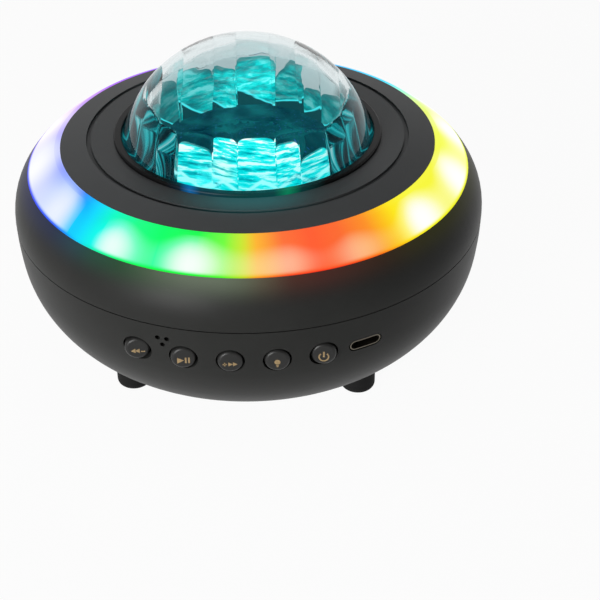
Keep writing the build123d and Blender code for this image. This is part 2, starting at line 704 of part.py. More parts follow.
def drive_pinion():
    """Pinion and its shaft, in mesh with the disc."""
    mesh_turn = 1 / 2
    gear = extrude(gear_face(PINION_TEETH, mesh_turn), DISC_T + 2 * PINION_OVER)
    shaft = rod(SHAFT_R, deck_z - SHAFT_IN, disc_top_z, motor_place)
    return Pos(*motor_place, disc_z - PINION_OVER) * gear + shaft


def lamp_board():
    """Metal-core board under the lamp tube, held at both lugs."""
    width = LAMP_BORE_R + LAMP_TUBE_T
    outline = SlotOverall(2 * (lug_reach + LAMP_LUG_R), 2 * width, rotation=90)
    board = Pos(*lamp_place, lamp_board_z - LAMP_BOARD_T) * extrude(outline, LAMP_BOARD_T)
    for place in lug_places:
        board -= rod(small_pass_r, lamp_board_z - LAMP_BOARD_T - CUT, lamp_board_z + CUT, place)
    return board


def lamp_chip():
    """Light source with its small clear dome."""
    half = CHIP_W / 2
    x, y = lamp_place
    chip = block((x - half, x + half), (y - half, y + half), (lamp_board_z, lamp_board_z + CHIP_H))
    bulb = Pos(x, y, lamp_board_z + CHIP_H) * Sphere(BULB_R)
    return chip + (bulb & slab(lamp_board_z + CHIP_H / 2, floor_z))


def condenser_lens():
    """Lens with a flat back and a convex front, on the step inside the lamp tube."""
    low = lamp_board_z + LENS_SEAT_H
    edge = low + LENS_EDGE_T
    radius = LAMP_BORE_R - FIT
    crown_r = (radius ** 2 + LENS_CROWN ** 2) / (2 * LENS_CROWN)
    ball = Pos(0, 0, edge + LENS_CROWN - crown_r) * Sphere(crown_r)
    lens = rod(radius, low, edge + LENS_CROWN) & ball
    return Pos(*lamp_place, 0) * lens


def heat_sink():
    """Finned plate under the lamp board."""
    x, y = lamp_place
    half = SINK_W / 2
    reach = lug_reach + LAMP_LUG_R
    top = lamp_board_z - LAMP_BOARD_T
    base = top - SINK_BASE_T
    sink = block((x - half, x + half), (y - reach, y + reach), (base, top))
    fin_step = (SINK_W - SINK_FIN_T) / (SINK_FINS - 1)
    fin_end = lug_reach - SMALL_HEAD_R - RUN
    for number in range(SINK_FINS):
        fin_x = x - half + number * fin_step
        sink += block((fin_x, fin_x + SINK_FIN_T), (y - fin_end, y + fin_end), (base - SINK_FIN_H, base))
    for place in lug_places:
        sink -= rod(small_pass_r, base - CUT, top + CUT, place)
    return sink


def laser_module():
    """Brass barrel in its sleeve."""
    return rod(LASER_R, floor_z - LASER_L, floor_z, laser_place)


def laser_grating():
    """Clear disc on the barrel that splits the beam into points."""
    return rod(LASER_R, floor_z, floor_z + GRATING_T, laser_place)


ring_board_in_r = skirt_r + RUN
ring_board_r = ring_board_in_r + RING_BOARD_W
ring_board_top_z = deck_z + RING_BOARD_T


def ring_board():
    """Annular board on the deck, under the light ring."""
    return tube(ring_board_r, ring_board_in_r, deck_z, ring_board_top_z)


def ring_leds():
    """Square LEDs spaced evenly along the board."""
    half = RING_LED_W / 2
    middle_r = (ring_board_r + ring_board_in_r) / 2
    span_r = (middle_r - half, middle_r + half)
    chip = block(span_r, (-half, half), (ring_board_top_z, ring_board_top_z + RING_LED_H))
    step = 360 / RING_LED_COUNT
    return Compound([Rot(Z=RING_LED_TURN + number * step) * chip for number in range(RING_LED_COUNT)])


def foot(place):
    """Rubber foot shaped to the bowl, with a stem that plugs the screw's bore."""
    foot_z = BASE_Z + base_arc_r - sqrt(base_arc_r ** 2 - max(foot_circle_r - base_flat_r, 0) ** 2)
    head = rod(FOOT_R, 0, foot_z + FOOT_R, place)
    head = fillet(head.edges().group_by(Axis.Z)[0], FOOT_ROUND)
    return head - housing_form(-FIT) + rod(PILLAR_BORE_R - FIT, foot_z / 2, foot_z + FOOT_STEM_L, place)


def button(x):
    """Button: a round cap through the wall, a flange behind the wall and a stem on the switch."""
    face_y = front_y(x, control_z, 0) - BUTTON_PROUD
    stop_y = flange_y(x)
    cap = rod_y(BUTTON_R, face_y, stop_y, x, control_z)
    cap = fillet(cap.edges().group_by(Axis.Y)[0], BUTTON_ROUND)
    flange = rod_y(BUTTON_FLANGE_R, stop_y, stop_y + BUTTON_FLANGE_T, x, control_z)
    return cap + flange + rod_y(BUTTON_STEM_R, stop_y, switch_y - PLUNGER_OUT, x, control_z)


def switch_plunger(x):
    """Plunger of one switch, which the button's stem presses."""
    return rod_y(BUTTON_STEM_R, switch_y - PLUNGER_OUT, switch_y + PLUNGER_IN, x, control_z)


def switch_bodies():
    """Five switch bodies on the front board."""
    half = SWITCH_W / 2
    bodies = []
    for x in button_xs:
        body = block((x - half, x + half), (switch_y, front_board_y), (control_z - half, control_z + half))
        well = switch_y + PLUNGER_IN + BUTTON_TRAVEL + RUN
        bodies.append(body - rod_y(BUTTON_STEM_R + SHAFT_PLAY, switch_y - CUT, well, x, control_z))
    return Compound(bodies)


def front_board():
    """Upright board behind the buttons, held in the two rails."""
    return block(board_span_x, board_span_y, board_span_z)


def microphone():
    """Round capsule on the front board."""
    return rod_y(MIC_R, front_board_y - MIC_T, front_board_y, mic_x, mic_z)


def mic_boot():
    """Rubber tube from the capsule to the holes in the wall."""
    outer_r = MIC_R
    boot = rod_y(outer_r, -BODY_R, front_board_y - MIC_T, mic_x, mic_z)
    boot -= rod_y(outer_r - MIC_BOOT_T, -BODY_R - CUT, front_board_y, mic_x, mic_z)
    return boot & housing_form(WALL + FIT)


def usb_socket():
    """Metal shell of the socket, closed on the board, its mouth close to the curved wall."""
    shell = slot_y(USB_W, USB_H, -BODY_R, front_board_y, usb_x, control_z) & housing_form(USB_INSET)
    hollow_w = USB_W - 2 * USB_SHEET
    hollow_h = USB_H - 2 * USB_SHEET
    return shell - slot_y(hollow_w, hollow_h, -BODY_R - CUT, front_board_y - USB_SHEET, usb_x, control_z)


def usb_tongue():
    """Contact tongue in the middle of the socket."""
    half = USB_TONGUE_W / 2
    thick = USB_TONGUE_T / 2
    span_y = (usb_mouth_y + USB_TONGUE_INSET, front_board_y - USB_SHEET)
    return block((usb_x - half, usb_x + half), span_y, (control_z - thick, control_z + thick))


def speaker_grille():
    """Round perforated plate let into the underside."""
    sheet = Circle(GRILLE_R)
    row_step = GRILLE_PITCH * sin(radians(60))
    reach = GRILLE_R - GRILLE_LEDGE - GRILLE_PITCH / 2
    rows = int(reach / row_step)
    for row in range(-rows, rows + 1):
        shift = (row % 2) / 2
        columns = int(reach / GRILLE_PITCH) + 1
        for column in range(-columns, columns + 1):
            x = (column + shift) * GRILLE_PITCH
            y = row * row_step
            if x * x + y * y < reach * reach:
                sheet -= Pos(x, y) * Circle(GRILLE_HOLE_R)
    return Pos(0, 0, BASE_Z) * extrude(sheet, GRILLE_T)


def speaker_gasket():
    """Foam ring between the underside and the speaker's surround."""
    return tube(SPEAKER_OPEN_R + SURROUND_HEM_W, SPEAKER_OPEN_R, inside_z, speaker_z - SURROUND_T)


def speaker_frame():
    """Flanged basket with windows, and a back plate for the magnet."""
    flange_top = speaker_z + SPEAKER_FLANGE_T
    rim = SPEAKER_OPEN_R + SURROUND_HEM_W
    back = gap_z - SPEAKER_SHELL_T
    basket = turned_polygon(
        (rim, flange_top - SPEAKER_FLANGE_T / 2),
        (rim, flange_top),
        (MAGNET_R, gap_z),
        (MAGNET_BORE_R, gap_z),
        (MAGNET_BORE_R, back),
        (MAGNET_R - SPEAKER_SHELL_T, back),
        (rim - SPEAKER_SHELL_T, flange_top - SPEAKER_FLANGE_T / 2),
    )
    sector = 360 / WINDOW_COUNT
    window_low = flange_top + SPEAKER_SHELL_T
    window_high = back - SPEAKER_SHELL_T
    half_width = MAGNET_R * sin(radians(sector * WINDOW_SHARE / 2))
    opening = block((0, speaker_flange_r), (-half_width, half_width), (window_low, window_high))
    for number in range(WINDOW_COUNT):
        basket -= Rot(Z=number * sector) * opening
    frame = basket + tube(speaker_flange_r, SPEAKER_OPEN_R, speaker_z, flange_top)
    for place in speaker_places:
        frame -= rod(small_pass_r, speaker_z - CUT, flange_top + CUT, place)
    return frame


def speaker_pole_plate():
    """Steel washer round the coil gap."""
    return tube(POLE_PLATE_R, coil_r + COIL_GAP, gap_z, magnet_z)


def speaker_magnet():
    """Ferrite ring."""
    return tube(MAGNET_R, MAGNET_BORE_R, magnet_z, yoke_z)


def speaker_yoke():
    """Steel back plate with the pole inside the coil."""
    return rod(POLE_PLATE_R, yoke_z, yoke_z + POLE_PLATE_T) + rod(POLE_R, gap_z, yoke_z)


def speaker_cone():
    """Paper cone from its neck round the coil to a flat edge on the surround."""
    edge_r = cone_r - SURROUND_LAND_W
    neck_r = coil_r + SHAFT_PLAY
    neck_z = speaker_z + CONE_DEPTH
    return turned_polygon(
        (cone_r, speaker_z),
        (cone_r, speaker_z + CONE_T),
        (edge_r, speaker_z + CONE_T),
        (neck_r, neck_z + CONE_T),
        (neck_r, neck_z),
        (edge_r, speaker_z),
    )


def voice_coil():
    """Coil on its former, from the cone's neck into the magnet gap."""
    return tube(coil_r, coil_in_r, speaker_z + CONE_DEPTH, gap_z + COIL_IN_GAP)


def dust_cap():
    """Domed cap over the cone's neck."""
    edge_r = cone_r - SURROUND_LAND_W
    neck_r = coil_r + SHAFT_PLAY
    rim_z_at_cap = speaker_z + CONE_DEPTH * (edge_r - CAP_R) / (edge_r - neck_r) - CAP_GAP
    ball_r = (CAP_R ** 2 + CAP_CROWN ** 2) / (2 * CAP_CROWN)
    centre = Pos(0, 0, rim_z_at_cap - CAP_CROWN + ball_r)
    shell = centre * Sphere(ball_r) - centre * Sphere(ball_r - CONE_T)
    return shell & slab(0, rim_z_at_cap)


def speaker_surround():
    """Rubber half roll between the cone's edge and the frame, rolled towards the magnet."""
    low = speaker_z - SURROUND_T
    roll_r = (cone_r + SPEAKER_OPEN_R) / 2
    out_r = SPEAKER_OPEN_R + SURROUND_HEM_W
    in_r = cone_r - SURROUND_LAND_W
    roll_h = SURROUND_ROLL_R - FIT
    inset = FIT + SURROUND_T
    back_out = (SPEAKER_OPEN_R - FIT, speaker_z)
    back_in = (cone_r + FIT, speaker_z)
    back = ThreePointArc(back_out, (roll_r, speaker_z + roll_h), back_in)
    front_in = (cone_r + inset, low)
    front_out = (SPEAKER_OPEN_R - inset, low)
    front = ThreePointArc(front_in, (roll_r, low + roll_h), front_out)
    land = Polyline(back @ 1, (in_r, speaker_z), (in_r, low), front @ 0)
    hem = Polyline(front @ 1, (out_r, low), (out_r, speaker_z), back @ 0)
    return turned(back, *land.edges(), front, *hem.edges())


def main_board():
    """Main board on four posts."""
    board = block((-BOARD_W / 2, BOARD_W / 2), (-BOARD_D / 2, BOARD_D / 2), (board_z, board_top_z))
    for place in post_places:
        board -= rod(small_pass_r, board_z - CUT, board_top_z + CUT, place)
    return board


plug_y = BOARD_D / 2 - PLUG_D


def board_parts():
    """Radio module, amplifier and the battery's socket on the main board."""
    radio = block(
        (RADIO_X - RADIO_W / 2, RADIO_X + RADIO_W / 2),
        (RADIO_Y - RADIO_D / 2, RADIO_Y + RADIO_D / 2),
        (board_top_z, board_top_z + RADIO_H),
    )
    amplifier = block(
        (AMP_X - AMP_W / 2, AMP_X + AMP_W / 2),
        (AMP_Y - AMP_W / 2, AMP_Y + AMP_W / 2),
        (board_top_z, board_top_z + AMP_H),
    )
    plug = block((-PLUG_W / 2, PLUG_W / 2), (plug_y, plug_y + PLUG_D), (board_top_z, board_top_z + PLUG_H))
    return Compound([radio, amplifier, plug])


def battery():
    """Flat battery pack standing behind the main board."""
    span_x = (-BATTERY_W / 2, BATTERY_W / 2)
    pack = block(span_x, (battery_y, battery_y + BATTERY_T), (BATTERY_Z, BATTERY_Z + BATTERY_H))
    return fillet(pack.edges().filter_by(Axis.Z), BATTERY_ROUND)


def lead(x):
    """One wire from the battery's top over to its socket on the main board."""
    start_y = battery_y + BATTERY_T / 2
    end_y = plug_y + PLUG_D / 2
    top_z = BATTERY_Z + BATTERY_H + LEAD_RISE
    points = [
        (x, start_y, BATTERY_Z + BATTERY_H),
        (x, start_y, top_z),
        (x, end_y, top_z),
        (x, end_y, board_top_z + PLUG_H),
    ]
    radius = LEAD_BEND_SHARE * min(LEAD_RISE, start_y - end_y)
    path = FilletPolyline(*points, radius=radius)
    return sweep(Plane(path @ 0, z_dir=path % 0) * Circle(LEAD_R), path)


def battery_leads():
    """Pair of wires between battery and main board."""
    return Compound([lead(side * LEAD_PITCH / 2) for side in (-1, 1)])


def ribbon():
    """Flat cable from the back of the front board to the front edge of the main board."""
    start_y = front_board_back_y
    end_y = -BOARD_D / 2 + RIBBON_LAP
    high = board_top_z + RIBBON_RISE
    run = FilletPolyline(
        (start_y, high + RIBBON_T),
        (-BOARD_D / 2 - RIBBON_LAP, high + RIBBON_T),
        (-BOARD_D / 2, board_top_z + RIBBON_T),
        (end_y, board_top_z + RIBBON_T),
        radius=RIBBON_RISE * LEAD_BEND_SHARE,
    )
    under = Pos(0, -RIBBON_T) * run
    ends = [Line(run @ 0, under @ 0), Line(run @ 1, under @ 1)]
    side_face = Plane.YZ * make_face([*run.edges(), *under.edges(), *ends])
    return extrude(side_face, RIBBON_W / 2, both=True)


def small_screws():
    """All small screws: deck into plate, loudspeaker, main board, lamp."""
    screws = [screw(place, deck_z - DECK_T, small_screw, True) for place in plate_boss_places]
    screws += [screw(place, speaker_z + SPEAKER_FLANGE_T, small_screw, False) for place in speaker_places]
    screws += [screw(place, board_top_z, small_screw, False) for place in post_places]
    sink_z = lamp_board_z - LAMP_BOARD_T - SINK_BASE_T
    screws += [screw(place, sink_z, small_screw, True) for place in lug_places]
    return Compound(screws)


def housing_screws():
    """Four long screws, up through the pillars into the upper shell."""
    return Compound([screw(place, screw_seat_z, long_screw, True) for place in foot_places])


nodes = {
    "lower_shell": lower_shell(),
    "upper_shell": upper_shell(),
    "light_ring": light_ring(),
    "top_plate": top_plate(),
    "dome_bezel": dome_bezel(),
    "dome": dome(),
    "dome_gasket": dome_gasket(),
    "projector_frame": projector_frame(),
    "baffle": baffle(),
    "ripple_disc": ripple_disc(),
    "disc_axle": disc_axle(),
    "axle_clip": axle_clip(),
    "motor": motor(),
    "drive_pinion": drive_pinion(),
    "lamp_board": lamp_board(),
    "lamp_chip": lamp_chip(),
    "condenser_lens": condenser_lens(),
    "heat_sink": heat_sink(),
    "laser_module": laser_module(),
    "laser_grating": laser_grating(),
    "ring_board": ring_board(),
    "ring_leds": ring_leds(),
    "switch_bodies": switch_bodies(),
    "front_board": front_board(),
    "microphone": microphone(),
    "mic_boot": mic_boot(),
    "usb_socket": usb_socket(),
    "usb_tongue": usb_tongue(),
    "speaker_grille": speaker_grille(),
    "speaker_gasket": speaker_gasket(),
    "speaker_frame": speaker_frame(),
    "speaker_pole_plate": speaker_pole_plate(),
    "speaker_magnet": speaker_magnet(),
    "speaker_yoke": speaker_yoke(),
    "speaker_cone": speaker_cone(),
    "voice_coil": voice_coil(),
    "dust_cap": dust_cap(),
    "speaker_surround": speaker_surround(),
    "main_board": main_board(),
    "board_parts": board_parts(),
    "battery": battery(),
    "battery_leads": battery_leads(),
    "ribbon": ribbon(),
    "small_screws": small_screws(),
    "housing_screws": housing_screws(),
}
for number, place in enumerate(foot_places, 1):
    nodes[f"foot_{number}"] = foot(place)
for name, x in zip(BUTTONS, button_xs):
    nodes[f"button_{name}"] = button(x)
    nodes[f"plunger_{name}"] = switch_plunger(x)

os.makedirs("parts", exist_ok=True)
for name, shape in nodes.items():
    export_step(shape, f"parts/{name}.step")
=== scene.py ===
import json
from math import asin, cos, degrees, hypot, pi, radians, sin, tau

import bpy
from bpy.props import FloatProperty, FloatVectorProperty, PointerProperty
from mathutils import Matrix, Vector

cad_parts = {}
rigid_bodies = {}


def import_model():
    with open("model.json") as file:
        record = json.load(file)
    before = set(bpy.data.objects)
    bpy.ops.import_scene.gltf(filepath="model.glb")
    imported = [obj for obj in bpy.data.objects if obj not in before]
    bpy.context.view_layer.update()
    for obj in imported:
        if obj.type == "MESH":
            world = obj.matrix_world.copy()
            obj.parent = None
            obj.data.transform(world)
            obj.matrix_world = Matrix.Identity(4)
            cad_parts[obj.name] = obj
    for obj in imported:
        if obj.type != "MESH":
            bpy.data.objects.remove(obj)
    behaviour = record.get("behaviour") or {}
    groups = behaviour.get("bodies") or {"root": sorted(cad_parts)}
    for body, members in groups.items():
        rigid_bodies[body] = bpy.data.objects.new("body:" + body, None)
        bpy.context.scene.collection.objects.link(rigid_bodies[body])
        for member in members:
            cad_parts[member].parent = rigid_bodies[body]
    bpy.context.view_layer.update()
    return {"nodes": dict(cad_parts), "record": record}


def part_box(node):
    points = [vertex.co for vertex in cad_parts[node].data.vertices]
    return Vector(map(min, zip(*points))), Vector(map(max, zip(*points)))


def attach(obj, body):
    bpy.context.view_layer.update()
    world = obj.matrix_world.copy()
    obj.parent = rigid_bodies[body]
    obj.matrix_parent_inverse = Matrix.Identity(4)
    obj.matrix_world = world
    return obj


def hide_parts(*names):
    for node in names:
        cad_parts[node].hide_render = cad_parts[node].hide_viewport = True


bl_info = {
    "name": "Aurora projector",
    "version": (1, 0, 0),
    "blender": (4, 5, 0),
    "location": "View3D > Sidebar > Aurora",
    "description": "Finishes, dome, light ring, keys and stage of a round aurora projector with a loudspeaker",
    "category": "Object",
}

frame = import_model()
RECORD = frame["record"]
NODES = frame["nodes"]
MM = 0.001
BODY = "housing"
KEYS = ("previous", "play", "next", "light", "power")
BLACK = (0.0, 0.0, 0.0, 1.0)
WHITE = (1.0, 1.0, 1.0, 1.0)
ACRYLIC_IOR = 1.49

# Turn that stands a piece drawn flat upright, facing the front
UPRIGHT = (pi / 2, 0.0, 0.0)

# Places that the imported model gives
RING_LOW, RING_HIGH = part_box("light_ring")
RIM_RADIUS = RING_HIGH.x
DOME_LOW, DOME_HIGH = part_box("dome")


class Shade:
    """An output socket of a material's nodes, which takes part in sums as a number does."""

    def __init__(self, tree, socket=None):
        self.tree = tree
        self.socket = socket

    def node(self, kind, settings=None, sockets=None, output=0):
        """Adds a node: its settings first, then the values or links of its sockets. Returns one output."""
        made = self.tree.nodes.new(kind)
        for key, value in (settings or {}).items():
            if key == "stops":
                set_stops(made.color_ramp, value)
            elif key == "ramp":
                made.color_ramp.interpolation = value
            else:
                setattr(made, key, value)
        for key, value in (sockets or {}).items():
            self.fill(made.inputs[key], value)
        return Shade(self.tree, made.outputs[output])

    def fill(self, socket, value):
        """Links a shade to a socket, or sets the socket's own value."""
        if isinstance(value, Shade):
            self.tree.links.new(value.socket, socket)
        else:
            socket.default_value = value

    def math(self, operation, *values):
        """One Math node on this tree."""
        return self.node("ShaderNodeMath", {"operation": operation}, dict(enumerate(values)))

    def __add__(self, other):
        return self.math("ADD", self, other)

    def __sub__(self, other):
        return self.math("SUBTRACT", self, other)

    def __rsub__(self, other):
        return self.math("SUBTRACT", other, self)

    def __mul__(self, other):
        return self.math("MULTIPLY", self, other)

    def __truediv__(self, other):
        return self.math("DIVIDE", self, other)

    def clamped(self, low, high):
        """0 below low and 1 above high, smooth between them; low may be the larger one."""
        sockets = {"Value": self, "From Min": low, "From Max": high}
        return self.node("ShaderNodeMapRange", {"interpolation_type": "SMOOTHSTEP"}, sockets)

    def mixed(self, first, second):
        """Colour between two colours, with this value as the factor."""
        sockets = {"Factor": self, 6: first, 7: second}
        return self.node("ShaderNodeMix", {"data_type": "RGBA"}, sockets, output=2)


def set_stops(ramp, stops):
    """Puts the stops of a colour ramp in place."""
    while len(ramp.elements) < len(stops):
        ramp.elements.new(1.0)
    for element, (place, colour) in zip(ramp.elements, stops):
        element.position = place
        element.color = (*colour, 1.0)


def rgba(colour, share=1.0):
    """Colour with full alpha, made darker or lighter by a share, at most white."""
    return (*(min(1.0, part * share) for part in colour), 1.0)


def new_material(name, **constants):
    """A material with one Principled shader, whose constant sockets are given by name."""
    material = bpy.data.materials.new(name)
    material.use_nodes = True
    shader = material.node_tree.nodes["Principled BSDF"]
    for key, value in constants.items():
        shader.inputs[key.replace("_", " ").title().replace("Ior", "IOR")].default_value = value
    return material, Shade(material.node_tree), shader


def object_coordinates(shade):
    """Coordinates in the shared frame, in metres."""
    return shade.node("ShaderNodeTexCoord", output=3)


def noise(shade, place, size, detail=3.0, roughness=0.55):
    """Soft noise, about 0.5 in the mean, with features of one size in metres."""
    sockets = {"Vector": place, "Scale": 1 / size, "Detail": detail, "Roughness": roughness}
    return shade.node("ShaderNodeTexNoise", None, sockets)


def bumped(shade, height, strength, depth):
    """Normal from a height."""
    sockets = {"Height": height, "Strength": strength, "Distance": depth}
    return shade.node("ShaderNodeBump", None, sockets)


# How finishes vary: tones of their patches, grains to a patch, and swings of the roughness and the bump
PLASTIC_TONES = (0.86, 1.12)
PLASTIC_PATCH = 40
GRAIN_GLOSS, PATCH_GLOSS = 0.12, 0.06
GRAIN_BUMP = 0.35
METAL_TONE = 0.82
METAL_PATCH = 25
SCRATCH_GLOSS = 0.16
FLOW_SIZE, FLOW_TONE, FLOW_GLOSS = 9 * MM, 1.02, 0.02


def moulded(name, colour, rough, grain, depth, **constants):
    """Moulded plastic or rubber: grained, with a slightly uneven colour and gloss."""
    material, shade, shader = new_material(name, **constants)
    place = object_coordinates(shade)
    fine = noise(shade, place, grain)
    broad = noise(shade, place, grain * PLASTIC_PATCH, detail=2.0)
    dark, light = PLASTIC_TONES
    shade.fill(shader.inputs["Base Color"], broad.mixed(rgba(colour, dark), rgba(colour, light)))
    mean = (GRAIN_GLOSS + PATCH_GLOSS) / 2
    shade.fill(shader.inputs["Roughness"], fine * GRAIN_GLOSS + broad * PATCH_GLOSS + (rough - mean))
    shade.fill(shader.inputs["Normal"], bumped(shade, fine, GRAIN_BUMP, depth))
    return material, shade, shader


def metal(name, colour, rough, grain):
    """Bare or plated metal with fine scratches."""
    material, shade, shader = new_material(name, metallic=1.0)
    place = object_coordinates(shade)
    fine = noise(shade, place, grain)
    broad = noise(shade, place, grain * METAL_PATCH)
    shade.fill(shader.inputs["Base Color"], broad.mixed(rgba(colour, METAL_TONE), rgba(colour)))
    shade.fill(shader.inputs["Roughness"], fine * SCRATCH_GLOSS + (rough - SCRATCH_GLOSS / 2))
    return material


def clear_plastic(name, colour, rough):
    """Clear moulded plastic with faint flow marks."""
    material, shade, shader = new_material(name, transmission_weight=1.0, ior=ACRYLIC_IOR)
    flow = noise(shade, object_coordinates(shade), FLOW_SIZE, detail=1.0)
    shade.fill(shader.inputs["Base Color"], flow.mixed(rgba(colour), rgba(colour, FLOW_TONE)))
    shade.fill(shader.inputs["Roughness"], flow * FLOW_GLOSS + rough)
    return material


# Facets of the dome, each from its first corner on: azimuth in degrees, where the corner lies in the swing of the
# radii, tilt of the streaks, top of the light and its slant, foot line and its slant, and brightness, all as shares
FACETS = (
    (-41.5, 0.5, 0.62, 0.70, 0.56, 0.00, 0.50, 1.00), (-20.4, -0.6, 0.40, 0.99, 0.50, 0.00, 0.50, 1.00),
    (-6.1, 0.6, 0.30, 0.99, 0.53, 0.00, 0.50, 1.00), (14.6, -0.5, 0.50, 0.78, 0.50, 0.00, 0.50, 1.00),
    (29.0, -0.9, 0.62, 0.46, 0.37, 0.00, 0.50, 0.90), (46.0, 1.8, 0.70, 0.60, 0.56, 0.20, 0.44, 0.35),
    (63.0, 0.5, 0.35, 0.68, 0.40, 0.10, 0.56, 0.40), (78.0, -0.7, 0.80, 0.62, 0.56, 0.15, 0.50, 0.35),
    (95.0, 0.4, 0.45, 0.72, 0.70, 0.30, 0.80, 0.30), (122.5, -0.5, 0.55, 0.60, 0.60, 0.42, 0.72, 0.40),
    (139.5, 0.7, 0.50, 0.97, 1.00, 0.36, 0.60, 0.50), (160.0, -0.6, 0.35, 0.96, 0.48, 0.30, 0.24, 1.05),
    (186.6, 0.5, 0.60, 0.85, 0.45, 0.02, 0.10, 0.85), (203.7, -0.8, 0.48, 1.00, 0.30, 0.18, 0.10, 0.55),
    (228.2, 0.6, 0.52, 0.90, 0.24, 0.24, 0.00, 0.20), (256.6, -0.3, 0.30, 0.78, 0.40, 0.20, 0.30, 0.30),
    (270.0, 0.7, 0.65, 0.70, 0.50, 0.10, 0.50, 0.40), (284.0, -0.6, 0.42, 0.65, 0.56, 0.15, 0.56, 0.35),
    (303.0, 0.3, 0.75, 0.62, 0.44, 0.20, 0.50, 0.35),
)

# Strips over the dome's inside: left edge in millimetres, and three shares for the tilt of the strip's surface back
# and aside and for its tone
STRIPS = (
    (-40.0, 0.5, 0.5, 0.60), (-28.6, 0.3, 0.6, 0.45), (-24.4, 0.6, 0.4, 0.55), (-19.3, 0.45, 0.6, 0.62),
    (-10.2, 0.50, 0.4, 0.68), (-3.3, 0.60, 0.55, 0.66), (7.5, 0.55, 0.4, 0.58), (14.8, 0.45, 0.5, 0.66),
    (21.1, 0.45, 0.4, 0.50), (26.0, 0.65, 0.6, 0.60),
)

# Light round the ring: azimuth from the front in degrees and the deep colour there
RING_COLOURS = (
    (-180, (0.20, 0.25, 1.00)), (-150, (0.35, 0.10, 1.00)), (-122, (0.45, 0.12, 0.90)), (-105, (0.30, 0.14, 0.95)),
    (-88, (0.20, 0.24, 1.00)), (-72, (0.10, 0.16, 1.00)), (-56, (0.06, 0.22, 1.00)), (-51, (0.00, 0.42, 1.00)),
    (-46, (0.00, 0.72, 0.98)), (-40, (0.00, 0.97, 0.55)), (-32, (0.01, 0.97, 0.25)), (-24, (0.00, 1.00, 0.14)),
    (-14, (0.01, 0.96, 0.08)), (-7, (0.16, 0.97, 0.05)), (-2, (0.62, 0.80, 0.03)), (1, (0.98, 0.48, 0.03)),
    (8, (0.98, 0.17, 0.04)), (16, (1.00, 0.11, 0.03)), (24, (0.97, 0.15, 0.03)), (32, (0.98, 0.28, 0.02)),
    (37, (0.98, 0.52, 0.01)), (42, (0.98, 0.80, 0.01)), (50, (0.95, 0.94, 0.05)), (64, (0.92, 0.92, 0.04)),
    (88, (0.88, 0.95, 0.08)), (104, (0.80, 0.92, 0.16)), (112, (0.72, 1.00, 0.30)), (119, (0.35, 1.00, 0.65)),
    (128, (0.02, 0.75, 1.00)), (150, (0.00, 0.50, 1.00)), (180, (0.20, 0.25, 1.00)),
)

# Lamps behind the ring: azimuth in degrees and how far the ring whitens over the lamp and halfway to the next one
RING_LAMPS = (
    (-176, 0.7, 0.4), (-152, 0.7, 0.5), (-128, 0.75, 0.6), (-105, 0.80, 0.62), (-83, 0.82, 0.55), (-58, 0.74, 0.05),
    (-36, 0.78, 0.22), (-15, 0.88, 0.18), (9, 0.32, 0.0), (27, 0.32, 0.0), (49, 0.95, 0.28), (73, 0.95, 0.30),
    (97, 0.90, 0.35), (121, 0.8, 0.3), (146, 0.7, 0.3),
)

# How far the ring whitens at the very back, where its ramp starts and ends
RING_BACK_WHITE = 0.65

# Ring: its unlit colour; between which places aside its sides whiten over their full width, and how far; gammas of
# its pale and rich tones
RING_UNLIT = (0.005, 0.005, 0.005, 1.0)
RING_LEFT, RING_LEFT_WHITE = (38 * MM, 54 * MM), 0.85
RING_RIGHT, RING_RIGHT_WHITE = (42 * MM, 62 * MM), 0.45
RING_PALE, RING_RICH = 0.3, 1.6

# The ring's light on the shell: place, reach, fade-in to the front, share and colour of a pale patch; then where and
# how far the light weakens to the right
GLOW_PLACE, GLOW_REACH, GLOW_FRONT = -13 * MM, (26 * MM, 2 * MM), (40 * MM, 62 * MM)
GLOW_SHARE, GLOW_COLOUR = 0.75, (2.8, 3.3, 2.4, 1.0)
SPILL_RIGHT, SPILL_LOSS = (10 * MM, 45 * MM), 0.65

# The dome's light on the plate: how far it reaches past the dome, how far it fades from there, and its colour
PLATE_REACH, PLATE_FADE = 9 * MM, 12 * MM
PLATE_GLOW = (0.0, 0.07, 0.075, 1.0)

# Glints along the front of the bezel: place across in millimetres and colour
BEZEL_GLINTS = (
    (-24, (0.0, 0.0, 0.0)), (-20, (0.0, 0.01, 0.02)), (-17, (0.0, 0.12, 0.36)), (-14, (0.0, 0.03, 0.05)),
    (-4, (0.0, 0.04, 0.04)), (7, (0.0, 0.05, 0.05)), (11, (0.0, 0.20, 0.09)), (15, (0.0, 0.03, 0.03)),
    (22, (0.0, 0.0, 0.0)),
)

# Width in millimetres, about the middle, that a ramp across the part covers
RAMP_SPAN = 80

# Light in the facets: tilt of the streaks, how far apart two facets lie in the noise, and the depth over which front
# and back fade in; colours under the foot, along the top, of the foot line and of the veil over the light
STREAK_TILT, STREAK_APART = 6.0, 40.0
FACET_FADE = 8 * MM
FACET_DARK = (0.003, 0.05, 0.06, 1.0)
FACET_TOP = (0.02, 0.14, 0.15, 1.0)
FACET_LINE = (0.06, 0.80, 0.85, 1.0)
FACET_VEIL = (0.42, 0.50, 0.51, 1.0)

# Glints on the front facets: pitch, rise, foot, width and colour of a zigzag. Burst of white there: place across and
# above the dome's foot, reach and colour
GLINT_PITCH, GLINT_RISE, GLINT_FOOT = 5 * MM, 3.2 * MM, 0.6 * MM
GLINT_WIDTH, GLINT_COLOUR = (0.9 * MM, 0.2 * MM), (1.2, 1.2, 1.15, 1.0)
BURST_X, BURST_Z, BURST_REACH = -7.5 * MM, 7 * MM, (4.4 * MM, 0.8 * MM)
BURST_COLOUR = (1.35, 1.3, 1.05, 1.0)

